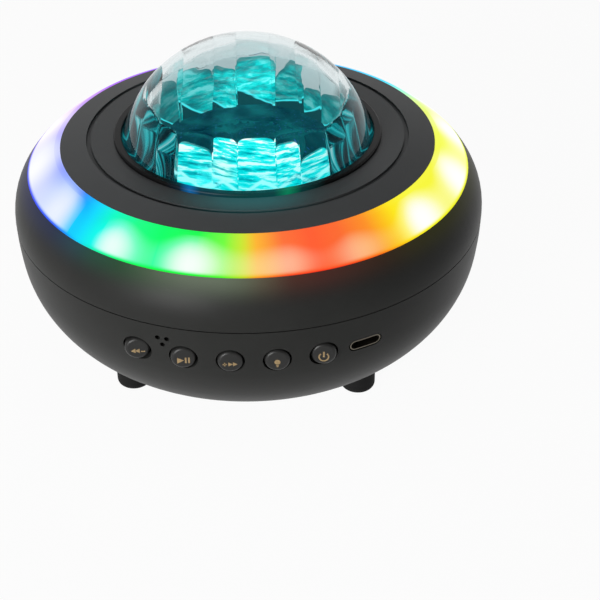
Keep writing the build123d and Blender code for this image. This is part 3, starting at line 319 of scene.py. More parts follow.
# Share of the noise and colour: streaks and blocks in the facets, stray light under the dome, streaks on its seat
STREAK_TONES = (
    (0.30, (0.0, 0.22, 0.28)), (0.40, (0.0, 0.52, 0.57)), (0.46, (0.0, 0.90, 0.88)), (0.52, (0.05, 1.05, 1.0)),
    (0.57, (1.3, 1.2, 1.15)),
)
BLOCK_TONES = (
    (0.36, (0.0, 0.18, 0.20)), (0.47, (0.0, 0.42, 0.43)), (0.56, (0.0, 0.78, 0.75)), (0.64, (0.25, 1.1, 1.1)),
)
WELL_TONES = ((0.30, (0.0, 0.03, 0.05)), (0.50, (0.003, 0.08, 0.10)), (0.68, (0.006, 0.17, 0.18)))
SEAT_TONES = (
    (0.45, (0.0, 0.012, 0.018)), (0.55, (0.0, 0.06, 0.075)), (0.62, (0.004, 0.26, 0.29)), (0.69, (0.02, 0.45, 0.48)),
    (0.79, (0.50, 0.70, 0.72)),
)
SPARK_BLUE = (0.03, 0.14, 0.45, 1.0)


def outputs_of(shade):
    """All outputs of the node that a shade comes from."""
    return [Shade(shade.tree, socket) for socket in shade.socket.node.outputs]


def split_place(shade, place):
    """The three parts of a place."""
    return outputs_of(shade.node("ShaderNodeSeparateXYZ", None, {0: place}))


def split_colour(shade, colour):
    """The three parts of a colour."""
    return outputs_of(shade.node("ShaderNodeSeparateColor", None, {0: colour}))


def length(shade, first, *others):
    """Length of a vector with two or three parts."""
    total = first * first
    for other in others:
        total = total + other * other
    return shade.math("SQRT", total)


def ramp(shade, factor, stops, kind="LINEAR"):
    """Colour from a factor between 0 and 1, by the stops of a ramp."""
    return shade.node("ShaderNodeValToRGB", {"stops": stops, "ramp": kind}, {0: factor})


def ramp_across(shade, x, rows, kind="LINEAR"):
    """Colour by the place across the part, from rows of a place in millimetres and a colour."""
    stops = [(place / RAMP_SPAN + 0.5, colour) for place, colour in rows]
    return ramp(shade, x * (1 / (RAMP_SPAN * MM)) + 0.5, stops, kind)


def turn_share(azimuth):
    """Azimuth in degrees as a share of a turn, 0.5 at the front."""
    return (azimuth + 180) / 360


def ring_turn(shade, x, y):
    """Direction from the axis, from 0 to 1 once round, 0.5 at the front."""
    return shade.math("ARCTAN2", x, 0.0 - y) * (1 / tau) + 0.5


def ring_colour(shade, x, y):
    """Deep colour of the ring's light in a direction."""
    stops = [(turn_share(azimuth), colour) for azimuth, colour in RING_COLOURS]
    return ramp(shade, ring_turn(shade, x, y), stops)


def ring_white(shade, x, y):
    """How far the ring whitens in a direction."""
    places = [(-180, RING_BACK_WHITE)]
    afters = [lamp[0] for lamp in RING_LAMPS[1:]] + [RING_LAMPS[0][0] + 360]
    for (azimuth, over, between), after in zip(RING_LAMPS, afters):
        places += [(azimuth, over), ((azimuth + after) / 2, between)]
    places.append((180, RING_BACK_WHITE))
    stops = [(turn_share(azimuth), (white * 0.5 + 0.5,) * 3) for azimuth, white in places]
    grey = ramp(shade, ring_turn(shade, x, y), stops, "EASE")
    return shade.node("ShaderNodeRGBToBW", None, {0: grey}) * 2.0 - 1.0


def ring_light(settings):
    """Lit milky ring: a colour for each direction, whitened over the lamps, deep along both edges."""
    material, shade, shader = new_material("ring_diffuser", roughness=0.4, base_color=RING_UNLIT,
                                           emission_strength=settings.strength, specular_ior_level=0.08)
    place = object_coordinates(shade)
    x, y, _ = split_place(shade, place)
    across = (length(shade, x, y) - settings.inner_radius) * (1 / (RIM_RADIUS - settings.inner_radius))
    left = (0.0 - x).clamped(*RING_LEFT) * RING_LEFT_WHITE
    right = x.clamped(*RING_RIGHT) * RING_RIGHT_WHITE
    sides = shade.math("MAXIMUM", left, right)
    lips = shade.math("MAXIMUM", across.clamped(settings.lip_share, settings.lip_share + 0.05), sides)
    middle = shade.math("MAXIMUM", lips, across.clamped(0.05, 0.02)) * across.clamped(0.985, 0.90)
    aside = across - settings.lamp_share
    fade = aside * aside * (1.0 - sides * 0.85) * settings.falloff
    uneven = (noise(shade, place, 14 * MM, detail=1.0) - 0.5) * 0.15
    light = ring_white(shade, x, y) - fade + uneven
    deep = ring_colour(shade, x, y)
    pale = shade.node("ShaderNodeGamma", None, {"Color": deep, "Gamma": RING_PALE})
    rich = shade.node("ShaderNodeGamma", None, {"Color": deep, "Gamma": RING_RICH})
    colour = (light.clamped(-0.15, 0.60) * middle).mixed(deep, pale)
    colour = (light.clamped(0.30, 1.0) * middle).mixed(colour, WHITE)
    shade.fill(shader.inputs["Emission Color"], across.clamped(0.95, 1.0).mixed(colour, rich))
    return material


def lit_shell(settings):
    """Shell plastic that takes a little of the ring's light along its rim, palest at the front left."""
    material, shade, shader = moulded("shell_black", (0.020, 0.0203, 0.0192), 0.42, 0.35 * MM, 0.02 * MM,
                                      emission_strength=settings.spill, specular_ior_level=0.09)
    x, y, z = split_place(shade, object_coordinates(shade))
    near = z.clamped(RING_LOW.z - settings.spill_depth, RING_LOW.z + 2 * MM)
    glow = shade.math("ABSOLUTE", x - GLOW_PLACE).clamped(*GLOW_REACH) * (0.0 - y).clamped(*GLOW_FRONT)
    colour = (glow * GLOW_SHARE).mixed(ring_colour(shade, x, y), GLOW_COLOUR)
    weaker = 1.0 - x.clamped(*SPILL_RIGHT) * SPILL_LOSS
    shade.fill(shader.inputs["Emission Color"], (near * near * near * weaker).mixed(BLACK, colour))
    return material


def facet_numbers(shade, x, y):
    """The six shares of the facet in a direction."""
    turn = ring_turn(shade, x, y)
    numbers = []
    for columns in (slice(2, 5), slice(5, 8)):
        stops = sorted((turn_share(row[0]) % 1.0, row[columns]) for row in FACETS)
        stops.insert(0, (0.0, stops[-1][1]))
        numbers += split_colour(shade, ramp(shade, turn, stops, "CONSTANT"))
    return numbers


def facet_light(settings, name, stops, squash, outline):
    """Light on the dome's facets: streaks that tilt from facet to facet, between a foot and a rounded top.

    With outline 1 it has a bright foot line, and a veil above the light at the back. With outline 0 it has glints and
    a burst of white at the front.
    """
    material, shade, shader = new_material(name, roughness=0.3, base_color=(0.01, 0.02, 0.02, 1.0),
                                           emission_strength=settings.strength)
    x, y, z = split_place(shade, object_coordinates(shade))
    aside = split_place(shade, shade.node("ShaderNodeTexCoord", output=2))[1] - 0.5
    tilt, top_share, top_slant, foot_share, foot_slant, level = facet_numbers(shade, x, y)

    # Streaks
    up = z * (1 / squash) + (tilt - 0.5) * aside * STREAK_TILT
    place = shade.node("ShaderNodeCombineXYZ", None, {0: aside, 1: up, 2: (tilt + level) * STREAK_APART})
    streak = noise(shade, place, 1.0, detail=4.0, roughness=0.65)

    # Heights below the top and above the foot of a facet's light
    corner = aside * aside * 4.0
    top = (top_share - 1.0) * settings.top_swing + (top_slant - 0.5) * aside * settings.slant + settings.top
    over = top - corner * corner * corner * settings.top_round - z
    foot = foot_share * settings.foot_swing + (foot_slant - 0.5) * aside * settings.slant + DOME_LOW.z
    wave = (noise(shade, place, 2.0, detail=0.0) - 0.5) * (2 * MM)
    under = z - foot - wave * outline
    lit = under.clamped(-0.1 * MM, 0.1 * MM) * level
    colour = lit.mixed(FACET_DARK, ramp(shade, streak, stops))
    colour = (over.clamped(2.6 * MM, 0.6 * MM) * (outline * 0.8)).mixed(colour, FACET_TOP)

    # White at the front
    ahead = (0.0 - y).clamped(0.0, FACET_FADE) * (1.0 - outline)
    zigzag = shade.math("PINGPONG", x * (1 / GLINT_PITCH) + tilt, 1.0) * GLINT_RISE
    glint = shade.math("ABSOLUTE", zigzag + (DOME_LOW.z + GLINT_FOOT) - z).clamped(*GLINT_WIDTH) * ahead
    colour = (glint * streak.clamped(0.34, 0.46)).mixed(colour, GLINT_COLOUR)
    burst = length(shade, x - BURST_X, z - (DOME_LOW.z + BURST_Z)).clamped(*BURST_REACH) * ahead
    colour = (burst * streak.clamped(0.40, 0.52)).mixed(colour, BURST_COLOUR)

    # Foot line, and the veil at the back
    line = shade.math("ABSOLUTE", under).clamped(0.6 * MM, 0.1 * MM) * outline
    seen = over.clamped(0.0, 0.25 * MM)
    behind = y.clamped(0.0, FACET_FADE) * outline
    veiled = ((1.0 - seen) * behind).mixed(line.mixed(colour, FACET_LINE), FACET_VEIL)
    shade.fill(shader.inputs["Emission Color"], veiled)
    shade.fill(shader.inputs["Alpha"], shade.math("MAXIMUM", seen, behind) * settings.cover)
    return material


def strip_numbers(shade, x):
    """Three shares that differ from strip to strip across the dome."""
    rows = [(place, shares) for place, *shares in STRIPS]
    return split_colour(shade, ramp_across(shade, x, rows, "CONSTANT"))


def lit_well():
    """Black pieces under the dome, with the lamp's stray light and sparks of the laser on them."""
    material, shade, shader = new_material("lit_well", roughness=0.6, base_color=(0.004, 0.005, 0.005, 1.0),
                                           emission_strength=1.0, specular_ior_level=0.1)
    place = object_coordinates(shade)
    stray = ramp(shade, noise(shade, place, 9 * MM), WELL_TONES)
    sparks = noise(shade, place, 0.5 * MM, detail=0.0).clamped(0.72, 0.80)
    shade.fill(shader.inputs["Emission Color"], sparks.mixed(stray, SPARK_BLUE))
    return material


def lit_plate(reach):
    """Plate plastic, lighter than the shell in part as painted light on its upward face, that takes a little of the
    dome's light in front of it.
    """
    # The plate's own black, made lighter than the shell's in part as painted light for the light that falls on its top
    material, shade, shader = moulded("plate_black", (0.068, 0.071, 0.073), 0.48, 0.30 * MM, 0.015 * MM,
                                      emission_strength=1.0, specular_ior_level=0.2)
    x, y, _ = split_place(shade, object_coordinates(shade))
    near = length(shade, x, y).clamped(reach, reach - PLATE_FADE) * (0.0 - y).clamped(10 * MM, 40 * MM)
    near = near * shade.math("ABSOLUTE", x).clamped(24 * MM, 3 * MM)
    shade.fill(shader.inputs["Emission Color"], near.mixed(BLACK, PLATE_GLOW))
    return material


def lit_bezel():
    """Bezel plastic with glints of the dome's light along its front."""
    material, shade, shader = moulded("bezel_black", (0.003, 0.003, 0.0032), 0.36, 0.5 * MM, 0.004 * MM,
                                      emission_strength=1.0, specular_ior_level=0.10)
    x, y, _ = split_place(shade, object_coordinates(shade))
    front = (0.0 - y).clamped(26 * MM, 34 * MM)
    shade.fill(shader.inputs["Emission Color"], front.mixed(BLACK, ramp_across(shade, x, BEZEL_GLINTS)))
    return material


def dress(material, *names):
    """Gives CAD nodes a material."""
    for name in names:
        for slot in NODES[name].material_slots:
            slot.material = material


def nodes_of(slot):
    """Nodes that the record gives a material slot."""
    return [part["node"] for part in RECORD["subparts"] if part["material_slot"] == slot]


def vertex(place):
    """Adds one vertex to the mesh in edit mode, and selects it alone."""
    bpy.ops.mesh.select_all(action="DESELECT")
    bpy.ops.mesh.primitive_plane_add(size=MM)
    bpy.ops.mesh.merge(type="CENTER")
    bpy.ops.transform.translate(value=place)


def start(name):
    """A new empty mesh in edit mode."""
    bpy.ops.object.select_all(action="DESELECT")
    bpy.ops.mesh.primitive_plane_add(size=MM)
    piece = bpy.context.object
    piece.name = name
    piece.data.name = name
    bpy.ops.object.mode_set(mode="EDIT")
    bpy.ops.mesh.delete(type="VERT")
    return piece


def draw(points):
    """A line of edges through some points."""
    vertex(points[0])
    for before, after in zip(points, points[1:]):
        step = Vector(after) - Vector(before)
        bpy.ops.mesh.extrude_vertices_move(TRANSFORM_OT_translate={"value": step})
    bpy.ops.mesh.select_linked()


def fill(points, step):
    """A flat shape with a closed outline, drawn out by a step."""
    draw(points)
    bpy.ops.mesh.edge_face_add()
    bpy.ops.mesh.extrude_region_move(TRANSFORM_OT_translate={"value": step})


def close(piece):
    """Merges what meets, turns the faces outwards and leaves edit mode."""
    bpy.ops.mesh.select_all(action="SELECT")
    bpy.ops.mesh.remove_doubles(threshold=0.001 * MM)
    bpy.ops.mesh.normals_make_consistent(inside=False)
    bpy.ops.object.mode_set(mode="OBJECT")
    return piece


def lathe(name, outline, steps):
    """A piece turned about Z from an outline of radii and heights, which starts and ends on the axis."""
    piece = start(name)
    draw([(radius, 0.0, height) for radius, height in outline])
    bpy.ops.mesh.spin(steps=steps, angle=tau, center=(0.0, 0.0, 0.0), axis=(0.0, 0.0, 1.0))
    return close(piece)


def modify(piece, kind, **settings):
    """Adds a modifier to a piece and applies it."""
    modifier = piece.modifiers.new(kind.title(), kind)
    for key, value in settings.items():
        setattr(modifier, key, value)
    bpy.context.view_layer.objects.active = piece
    bpy.ops.object.modifier_apply(modifier=modifier.name)


def combine(piece, other, operation):
    """Cuts a piece with another one, or keeps what they share, and removes the other one."""
    modify(piece, "BOOLEAN", operation=operation, solver="EXACT", object=other)
    bpy.data.objects.remove(other)


def pick(piece):
    """Makes a piece the active one, and the only one selected."""
    bpy.ops.object.select_all(action="DESELECT")
    piece.select_set(True)
    bpy.context.view_layer.objects.active = piece


def smooth(piece, angle):
    """Smooth shading across edges flatter than an angle."""
    pick(piece)
    bpy.ops.object.shade_smooth_by_angle(angle=angle)


def settle(piece, turn, place):
    """Turns and moves a piece to where it belongs, and makes that its rest."""
    pick(piece)
    piece.rotation_euler = turn
    piece.location = place
    bpy.ops.object.transform_apply(location=True, rotation=True, scale=True)


def paint(piece, *materials):
    """Gives a piece its materials."""
    piece.data.materials.clear()
    for material in materials:
        piece.data.materials.append(material)


def hand_over(piece, body):
    """Gives a finished piece its body."""
    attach(piece, body)


def arc(centre, radius, first, last, steps):
    """Points of an arc in the plane, from one angle to another in degrees."""
    points = []
    for step in range(steps + 1):
        angle = radians(first + (last - first) * step / steps)
        points.append((centre[0] + radius * cos(angle), centre[1] + radius * sin(angle)))
    return points


class AuroraRing(bpy.types.PropertyGroup):
    """Light ring."""

    inner_radius: FloatProperty(name="Inner radius", description="Inner edge of the ring", default=57.5 * MM,
                                unit="LENGTH")
    lip_share: FloatProperty(name="Lip", description="Inner lip, as a share of the ring's width", default=0.12)
    lamp_share: FloatProperty(name="Lamps", description="Where the lamps lie across the ring", default=0.78)
    falloff: FloatProperty(name="Falloff", description="How fast the white fades across the ring", default=2.0)
    strength: FloatProperty(name="Strength", description="Brightness of the ring", default=1.0)
    spill: FloatProperty(name="Spill", description="Light that the shell takes from the ring", default=0.05)
    spill_depth: FloatProperty(name="Spill depth", description="How far down the shell it reaches",
                               default=9.0 * MM, unit="LENGTH")


class AuroraDome(bpy.types.PropertyGroup):
    """Dome and the light under it."""

    radius: FloatProperty(name="Radius", description="Radius of the outer ball", default=39.748 * MM, unit="LENGTH")
    flange: FloatProperty(name="Flange", description="Height of the flange", default=1.8 * MM, unit="LENGTH")
    wall: FloatProperty(name="Wall", description="Thickness over the middle", default=3.2 * MM, unit="LENGTH")
    facet_radius: FloatProperty(name="Facet radius", description="Corners of the upright facets", default=29.4 * MM,
                                unit="LENGTH")
    facet_swing: FloatProperty(name="Facet swing", description="How far the corners differ", default=0.5 * MM,
                               unit="LENGTH")
    strength: FloatProperty(name="Strength", description="Brightness of the light in the facets", default=1.3)
    top: FloatProperty(name="Light top", description="Upper end of the light in the facets", default=83.0 * MM,
                       unit="LENGTH")
    top_swing: FloatProperty(name="Top swing", description="How far the upper ends differ", default=16.0 * MM,
                             unit="LENGTH")
    foot_swing: FloatProperty(name="Foot swing", description="How far the foot lines differ", default=8.0 * MM,
                              unit="LENGTH")
    slant: FloatProperty(name="Slant", description="How far the upper ends and foot lines slope", default=20.0 * MM,
                         unit="LENGTH")
    top_round: FloatProperty(name="Top rounding", description="Drop at the corners of a facet's light",
                             default=1.6 * MM, unit="LENGTH")
    cover: FloatProperty(name="Cover", description="How far the light hides what is behind it", default=0.92)
    tint: FloatVectorProperty(name="Tint", description="Colour of the clear dome", default=(0.745, 0.82, 0.83),
                              subtype="COLOR")
    # Painted lamp light: the lamp's teal, put into the clear plastic's colour near its foot
    foot_lamp_light: FloatVectorProperty(name="Foot tint", description="Colour of the dome near its foot",
                                   default=(0.12, 0.66, 0.70), subtype="COLOR")
    strip_tilt: FloatProperty(name="Strip tilt", description="How far the strips of the inside tilt", default=0.19)
    # How high the painted lamp light reaches up the dome
    lamp_light_height: FloatProperty(name="Tint height", description="How high the foot's colour reaches", default=22.0 * MM,
                               unit="LENGTH")


class AuroraKeys(bpy.types.PropertyGroup):
    """Push buttons and their symbols."""

    radius: FloatProperty(name="Radius", description="Radius of a cap", default=3.65 * MM, unit="LENGTH")
    rounding: FloatProperty(name="Rounding", description="Rounding of a cap's edge", default=1.1 * MM, unit="LENGTH")
    flange: FloatProperty(name="Flange", description="Thickness of the flange", default=1.0 * MM, unit="LENGTH")
    stem: FloatProperty(name="Stem", description="Radius of the stem", default=1.75 * MM, unit="LENGTH")
    ink: FloatVectorProperty(name="Ink", description="Colour of the symbols", default=(0.27, 0.185, 0.085),
                             subtype="COLOR")


class AuroraStage(bpy.types.PropertyGroup):
    """Camera, floor and lights."""

    lens: FloatProperty(name="Lens", description="Focal length in millimetres", default=84.0)
    place: FloatVectorProperty(name="Camera place", description="Place of the camera",
                               default=(0.0, -384.69 * MM, 271.07 * MM), subtype="TRANSLATION")
    turn: FloatVectorProperty(name="Camera turn", description="Turn of the camera",
                              default=(radians(55.552), radians(0.125), radians(-2.451)), subtype="EULER")
    room_dark: FloatProperty(name="Room", description="How far the room above dims in reflections", default=0.85)
    world_level: FloatProperty(name="World", description="Brightness of the surroundings", default=0.1)
    key_watts: FloatProperty(name="Key light", description="Power of the key light", default=6.0, unit="POWER")
    floor_white: FloatProperty(name="Floor white", description="Share of plain white in the floor as it is seen",
                               default=0.95)


# Plain mouldings: record slot, colour, roughness, and size and depth of the grain in millimetres
MOULDINGS = (
    ("frame_black", (0.010, 0.010, 0.010), 0.35, 0.4, 0.01),
    ("button_black", (0.012, 0.012, 0.013), 0.30, 0.3, 0.006),
    ("switch_black", (0.03, 0.03, 0.03), 0.5, 0.4, 0.01),
    ("board_green", (0.02, 0.12, 0.05), 0.35, 0.6, 0.01),
    ("led_white", (0.85, 0.85, 0.78), 0.3, 0.3, 0.004),
    ("tongue_black", (0.02, 0.02, 0.02), 0.45, 0.2, 0.004),
    ("pinion_white", (0.8, 0.8, 0.77), 0.4, 0.3, 0.004),
    ("ferrite", (0.03, 0.03, 0.033), 0.7, 0.3, 0.02),
    ("cone_paper", (0.015, 0.015, 0.015), 0.85, 0.8, 0.05),
    ("battery_blue", (0.02, 0.10, 0.45), 0.3, 0.6, 0.01),
    ("lead_red", (0.5, 0.02, 0.02), 0.45, 0.3, 0.01),
    ("ribbon_white", (0.8, 0.8, 0.77), 0.4, 0.5, 0.01),
)

# Metals: record slot, colour, roughness and size of the scratches in millimetres
METALS = (
    ("bare_steel", (0.55, 0.55, 0.56), 0.3, 0.2),
    ("bare_aluminium", (0.75, 0.76, 0.77), 0.38, 0.3),
    ("barrel_brass", (0.75, 0.53, 0.22), 0.25, 0.2),
    ("coil_copper", (0.72, 0.32, 0.14), 0.3, 0.2),
)


class AURORA_OT_finishes(bpy.types.Operator):
    """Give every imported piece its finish"""

    bl_idname = "aurora.finishes"
    bl_label = "Finishes"

    def execute(self, context):
        dress(lit_plate(DOME_HIGH.x + PLATE_REACH), *nodes_of("plate_black"))
        dress(lit_bezel(), "dome_bezel")
        dress(clear_plastic("lens_clear", (0.93, 0.97, 0.98), 0.02), *nodes_of("clear_plastic"))
        rubber, _, _ = moulded("rubber_black", (0.006, 0.006, 0.006), 0.75, 0.5 * MM, 0.03 * MM,
                               specular_ior_level=0.15)
        dress(rubber, *nodes_of("rubber_black"))
        for slot, colour, rough, grain, depth in MOULDINGS:
            dress(moulded(slot, colour, rough, grain * MM, depth * MM)[0], *nodes_of(slot))
        for slot, colour, rough, grain in METALS:
            dress(metal(slot, colour, rough, grain * MM), *nodes_of(slot))
        dress(metal("socket_steel", (0.17, 0.15, 0.12), 0.35, 0.2 * MM), "usb_socket")
        return {"FINISHED"}


class AURORA_OT_light_ring(bpy.types.Operator):
    """Light the ring"""

    bl_idname = "aurora.light_ring"
    bl_label = "Light ring"

    def execute(self, context):
        settings = context.scene.aurora_ring
        dress(ring_light(settings), "light_ring")
        dress(lit_shell(settings), *nodes_of("shell_black"))
        return {"FINISHED"}


# Fineness of the dome's outside, of the ball inside it and of the hollow's softened edges
DOME_STEPS, DOME_TURNS, DOME_SMOOTH = 60, 180, radians(9)
BALL_TURNS, BALL_STEPS = 160, 80
HOLLOW_VOXEL, HOLLOW_ROUNDS = 0.45 * MM, 4

# Faces up to this height above the dome's foot lie on its seat
SEAT_HEIGHT = 0.01 * MM

# Colours of the dome's gloss and of the darkest strips over its inside
DOME_GLOSS = (0.02, 0.16, 0.18, 1.0)
STRIP_TINT = (0.30, 0.48, 0.52, 1.0)


class AURORA_OT_dome(bpy.types.Operator):
    """Make the clear dome"""

    bl_idname = "aurora.dome"
    bl_label = "Dome"

    def execute(self, context):
        settings = context.scene.aurora_dome
        centre = DOME_HIGH.z - settings.radius
        flange_z = DOME_LOW.z + settings.flange
        low = asin((flange_z - centre) / settings.radius)
        outline = [(0.0, DOME_LOW.z), (DOME_HIGH.x, DOME_LOW.z), (DOME_HIGH.x, flange_z)]
        outline += arc((0.0, centre), settings.radius, degrees(low), 90, DOME_STEPS)
        dome = lathe("clear_dome", outline, DOME_TURNS)
        combine(dome, self.hollow(settings, centre), "DIFFERENCE")
        smooth(dome, DOME_SMOOTH)
        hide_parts("dome")
        paint(dome, self.plastic(settings), self.under())
        for face in dome.data.polygons:
            if face.center.z < DOME_LOW.z + SEAT_HEIGHT:
                face.material_index = 1
        hand_over(dome, BODY)
        return {"FINISHED"}

    def plastic(self, settings):
        """Clear plastic: the lamp's light painted into its colour near the foot, and strips of their own tilt and tone
        over the inside.
        """
        material, shade, shader = new_material("dome_plastic", transmission_weight=1.0, ior=ACRYLIC_IOR,
                                               roughness=0.0, specular_tint=DOME_GLOSS)
        place = object_coordinates(shade)
        x, y, z = split_place(shade, place)
        ripple = noise(shade, place, 11 * MM, detail=1.0) - 0.5
        spread = x * (z.clamped(DOME_HIGH.z - 17 * MM, DOME_HIGH.z) * 0.14 + 1.0)
        back, aside, tone = strip_numbers(shade, spread + ripple * MM)
        reach = length(shade, x, y, z - (DOME_HIGH.z - settings.radius))
        inside = reach.clamped(settings.radius - 0.5 * MM, settings.radius - 1 * MM)
        # Painted lamp light: the plastic's colour turns to the lamp's teal towards the foot
        low = z.clamped(DOME_LOW.z + settings.lamp_light_height, DOME_LOW.z)
        tint = low.mixed(rgba(settings.tint), rgba(settings.foot_lamp_light))
        shade.fill(shader.inputs["Base Color"], ((0.7 - tone) * inside).mixed(tint, STRIP_TINT))
        cap = z.clamped(DOME_LOW.z + 17 * MM, DOME_LOW.z + 24 * MM)
        height = ((back - 0.5) * y + (aside - 0.5) * x * 0.5 + ripple * cap * (1.3 * MM)) * inside
        shade.fill(shader.inputs["Normal"], bumped(shade, height, 1.0, settings.strip_tilt))
        return material

    def under(self):
        """Underside of the dome on its seat: dark, with streaks of the lamp's light."""
        material, shade, shader = new_material("dome_seat", roughness=0.5, base_color=(0.002, 0.004, 0.004, 1.0),
                                               emission_strength=1.0)
        x, y, _ = split_place(shade, object_coordinates(shade))
        reach = length(shade, x, y)
        bow = reach * reach / (reach + y + 2 * MM) * (1 / (3.0 * MM))
        along = shade.node("ShaderNodeCombineXYZ", None, {0: bow, 1: y * (1 / (40 * MM))})
        sides = shade.math("ABSOLUTE", x).clamped(28 * MM, 42 * MM) * 0.10
        streak = noise(shade, along, 1.0, detail=2.0) + sides
        shade.fill(shader.inputs["Emission Color"], ramp(shade, streak, SEAT_TONES))
        return material

    def hollow(self, settings, centre):
        """Inner ball, cut back to a ring of upright facets with softened edges."""
        facets = start("facets")
        fill(facet_corners(settings, 0.0, centre), (0.0, 0.0, settings.radius))
        close(facets)
        bpy.ops.object.select_all(action="DESELECT")
        bpy.ops.mesh.primitive_uv_sphere_add(segments=BALL_TURNS, ring_count=BALL_STEPS,
                                             radius=settings.radius - settings.wall)
        ball = bpy.context.object
        settle(ball, (0.0, 0.0, 0.0), (0.0, 0.0, centre))
        combine(facets, ball, "INTERSECT")
        modify(facets, "REMESH", mode="VOXEL", voxel_size=HOLLOW_VOXEL)
        modify(facets, "SMOOTH", factor=0.5, iterations=HOLLOW_ROUNDS)
        return facets


def facet_corners(settings, inset, height):
    """Corners of the dome's facets at a height, in order round the axis."""
    corners = []
    for turn, swing, *_ in FACETS:
        radius = settings.facet_radius + settings.facet_swing * swing - inset
        corners.append((radius * sin(radians(turn)), -radius * cos(radians(turn)), height))
    return corners


# Light in the facets: height of a streak and of a block, and its inset and thickness
STREAK_HEIGHT, BLOCK_HEIGHT = 1.5 * MM, 4.0 * MM
LIGHT_INSET, LIGHT_THICK = 0.4 * MM, 0.3 * MM


class AURORA_OT_projection(bpy.types.Operator):
    """Make the light that plays on the dome's facets"""

    bl_idname = "aurora.projection"
    bl_label = "Projection light"

    def execute(self, context):
        settings = context.scene.aurora_dome
        corners = facet_corners(settings, LIGHT_INSET, DOME_LOW.z)
        light = start("facet_light")
        draw(corners + corners[:1])
        rise = settings.top - DOME_LOW.z
        bpy.ops.mesh.extrude_edges_move(TRANSFORM_OT_translate={"value": (0.0, 0.0, rise)})
        close(light)
        bpy.ops.object.mode_set(mode="EDIT")
        bpy.ops.mesh.select_all(action="SELECT")
        bpy.ops.uv.reset()
        bpy.ops.object.mode_set(mode="OBJECT")
        paint(light, facet_light(settings, "facet_streaks", STREAK_TONES, STREAK_HEIGHT, 0.0),
              facet_light(settings, "facet_blocks", BLOCK_TONES, BLOCK_HEIGHT, 1.0))
        modify(light, "SOLIDIFY", thickness=LIGHT_THICK, offset=-1.0, material_offset=1)
        hand_over(light, BODY)
        dress(lit_well(), "dome_gasket", "baffle", "projector_frame", "ripple_disc")
        return {"FINISHED"}


# Fineness of a cap, and how far past its radius a packed key counts as widened
CAP_STEPS, CAP_TURNS, CAP_SMOOTH = 8, 64, radians(25)
FLANGE_EDGE = 0.3 * MM


class AURORA_OT_keys(bpy.types.Operator):
    """Make the caps of the push buttons"""

    bl_idname = "aurora.keys"
    bl_label = "Keys"

    def execute(self, context):
        settings = context.scene.aurora_keys
        radius, rounding, stem = settings.radius, settings.rounding, settings.stem
        material, _, _ = moulded("button_black", (0.014, 0.014, 0.0134), 0.36, 0.3 * MM, 0.006 * MM,
                                 specular_ior_level=0.25)
        for name in KEYS:
            low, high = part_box(f"button_{name}")
            x, z = key_centre(name)
            stop = low.y - self.flange_front(f"button_{name}", x, z, radius)
            back = low.y - high.y
            rim, behind = high.x - x, stop - settings.flange
            outline = [(0.0, 0.0)] + arc((radius - rounding, -rounding), rounding, 90, 0, CAP_STEPS)
            outline += [(radius, stop), (rim, stop), (rim, behind), (stem, behind), (stem, back), (0.0, back)]
            cap = lathe(f"cap_{name}", outline, CAP_TURNS)
            settle(cap, UPRIGHT, (x, low.y, z))
            smooth(cap, CAP_SMOOTH)
            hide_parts(f"button_{name}")
            paint(cap, material)
            hand_over(cap, f"{name}_key")
        return {"FINISHED"}

    def flange_front(self, node, x, z, radius):
        """Depth at which a packed key widens behind the wall."""
        shape = NODES[node]
        places = [shape.matrix_world @ corner.co for corner in shape.data.vertices]
        return min(place.y for place in places if hypot(place.x - x, place.z - z) > radius + FLANGE_EDGE)


def key_centre(name):
    """Middle of a key, seen from the front."""
    low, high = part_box(f"button_{name}")
    return (low.x + high.x) / 2, (low.z + high.z) / 2


def triangle(x, y, width, height):
    """Triangle with its base at x, pointing along the width."""
    return [(x, y - height / 2), (x, y + height / 2), (x + width, y)]


def bar(x, y, width, height):
    """Upright bar about a middle."""
    return [(x - width / 2, y - height / 2), (x + width / 2, y - height / 2),
            (x + width / 2, y + height / 2), (x - width / 2, y + height / 2)]


# Symbols on the keys, in millimetres: closed outlines about the middle of a cap
SYMBOLS = {
    "previous": (triangle(-0.6, 0.0, -1.3, 1.5), triangle(0.6, 0.0, -1.3, 1.5), bar(1.55, -0.2, 1.2, 0.36)),
    "play": (triangle(-1.8, 0.0, 1.9, 2.0), bar(0.6, 0.0, 0.5, 1.9), bar(1.5, 0.0, 0.5, 1.9)),
    "next": (bar(-1.6, 0.0, 1.2, 0.36), bar(-1.6, 0.0, 0.36, 1.2), triangle(-0.6, 0.0, 1.3, 1.4),
             triangle(0.7, 0.0, 1.3, 1.4)),
    "light": (arc((0.0, 0.3), 0.85, -60, 240, 20), bar(0.0, -0.75, 0.8, 0.3), bar(0.0, -1.2, 0.6, 0.3)),
    "power": (arc((0.0, -0.1), 1.55, 130, 410, 28) + arc((0.0, -0.1), 1.12, 410, 130, 28),
              bar(0.0, 0.75, 0.48, 1.9)),
}

# How far the ink lies in a cap and how thick it is, and how far a symbol sits below the middle of its cap
INK_SINK, INK_THICK, SYMBOL_DROP = 0.02 * MM, 0.05 * MM, 0.7 * MM


class AURORA_OT_symbols(bpy.types.Operator):
    """Put the symbols on the push buttons"""

    bl_idname = "aurora.symbols"
    bl_label = "Symbols"

    def execute(self, context):
        ink = tuple(context.scene.aurora_keys.ink)
        material, _, _ = moulded("symbol_ink", ink, 0.45, 0.2 * MM, 0.002 * MM)
        for name, outlines in SYMBOLS.items():
            low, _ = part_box(f"button_{name}")
            x, z = key_centre(name)
            symbol = start(f"symbol_{name}")
            for outline in outlines:
                fill([(right * MM, up * MM, -INK_SINK) for right, up in outline], (0.0, 0.0, INK_THICK))
            close(symbol)
            settle(symbol, UPRIGHT, (x, low.y, z - SYMBOL_DROP))
            paint(symbol, material)
            hand_over(symbol, f"{name}_key")
        return {"FINISHED"}


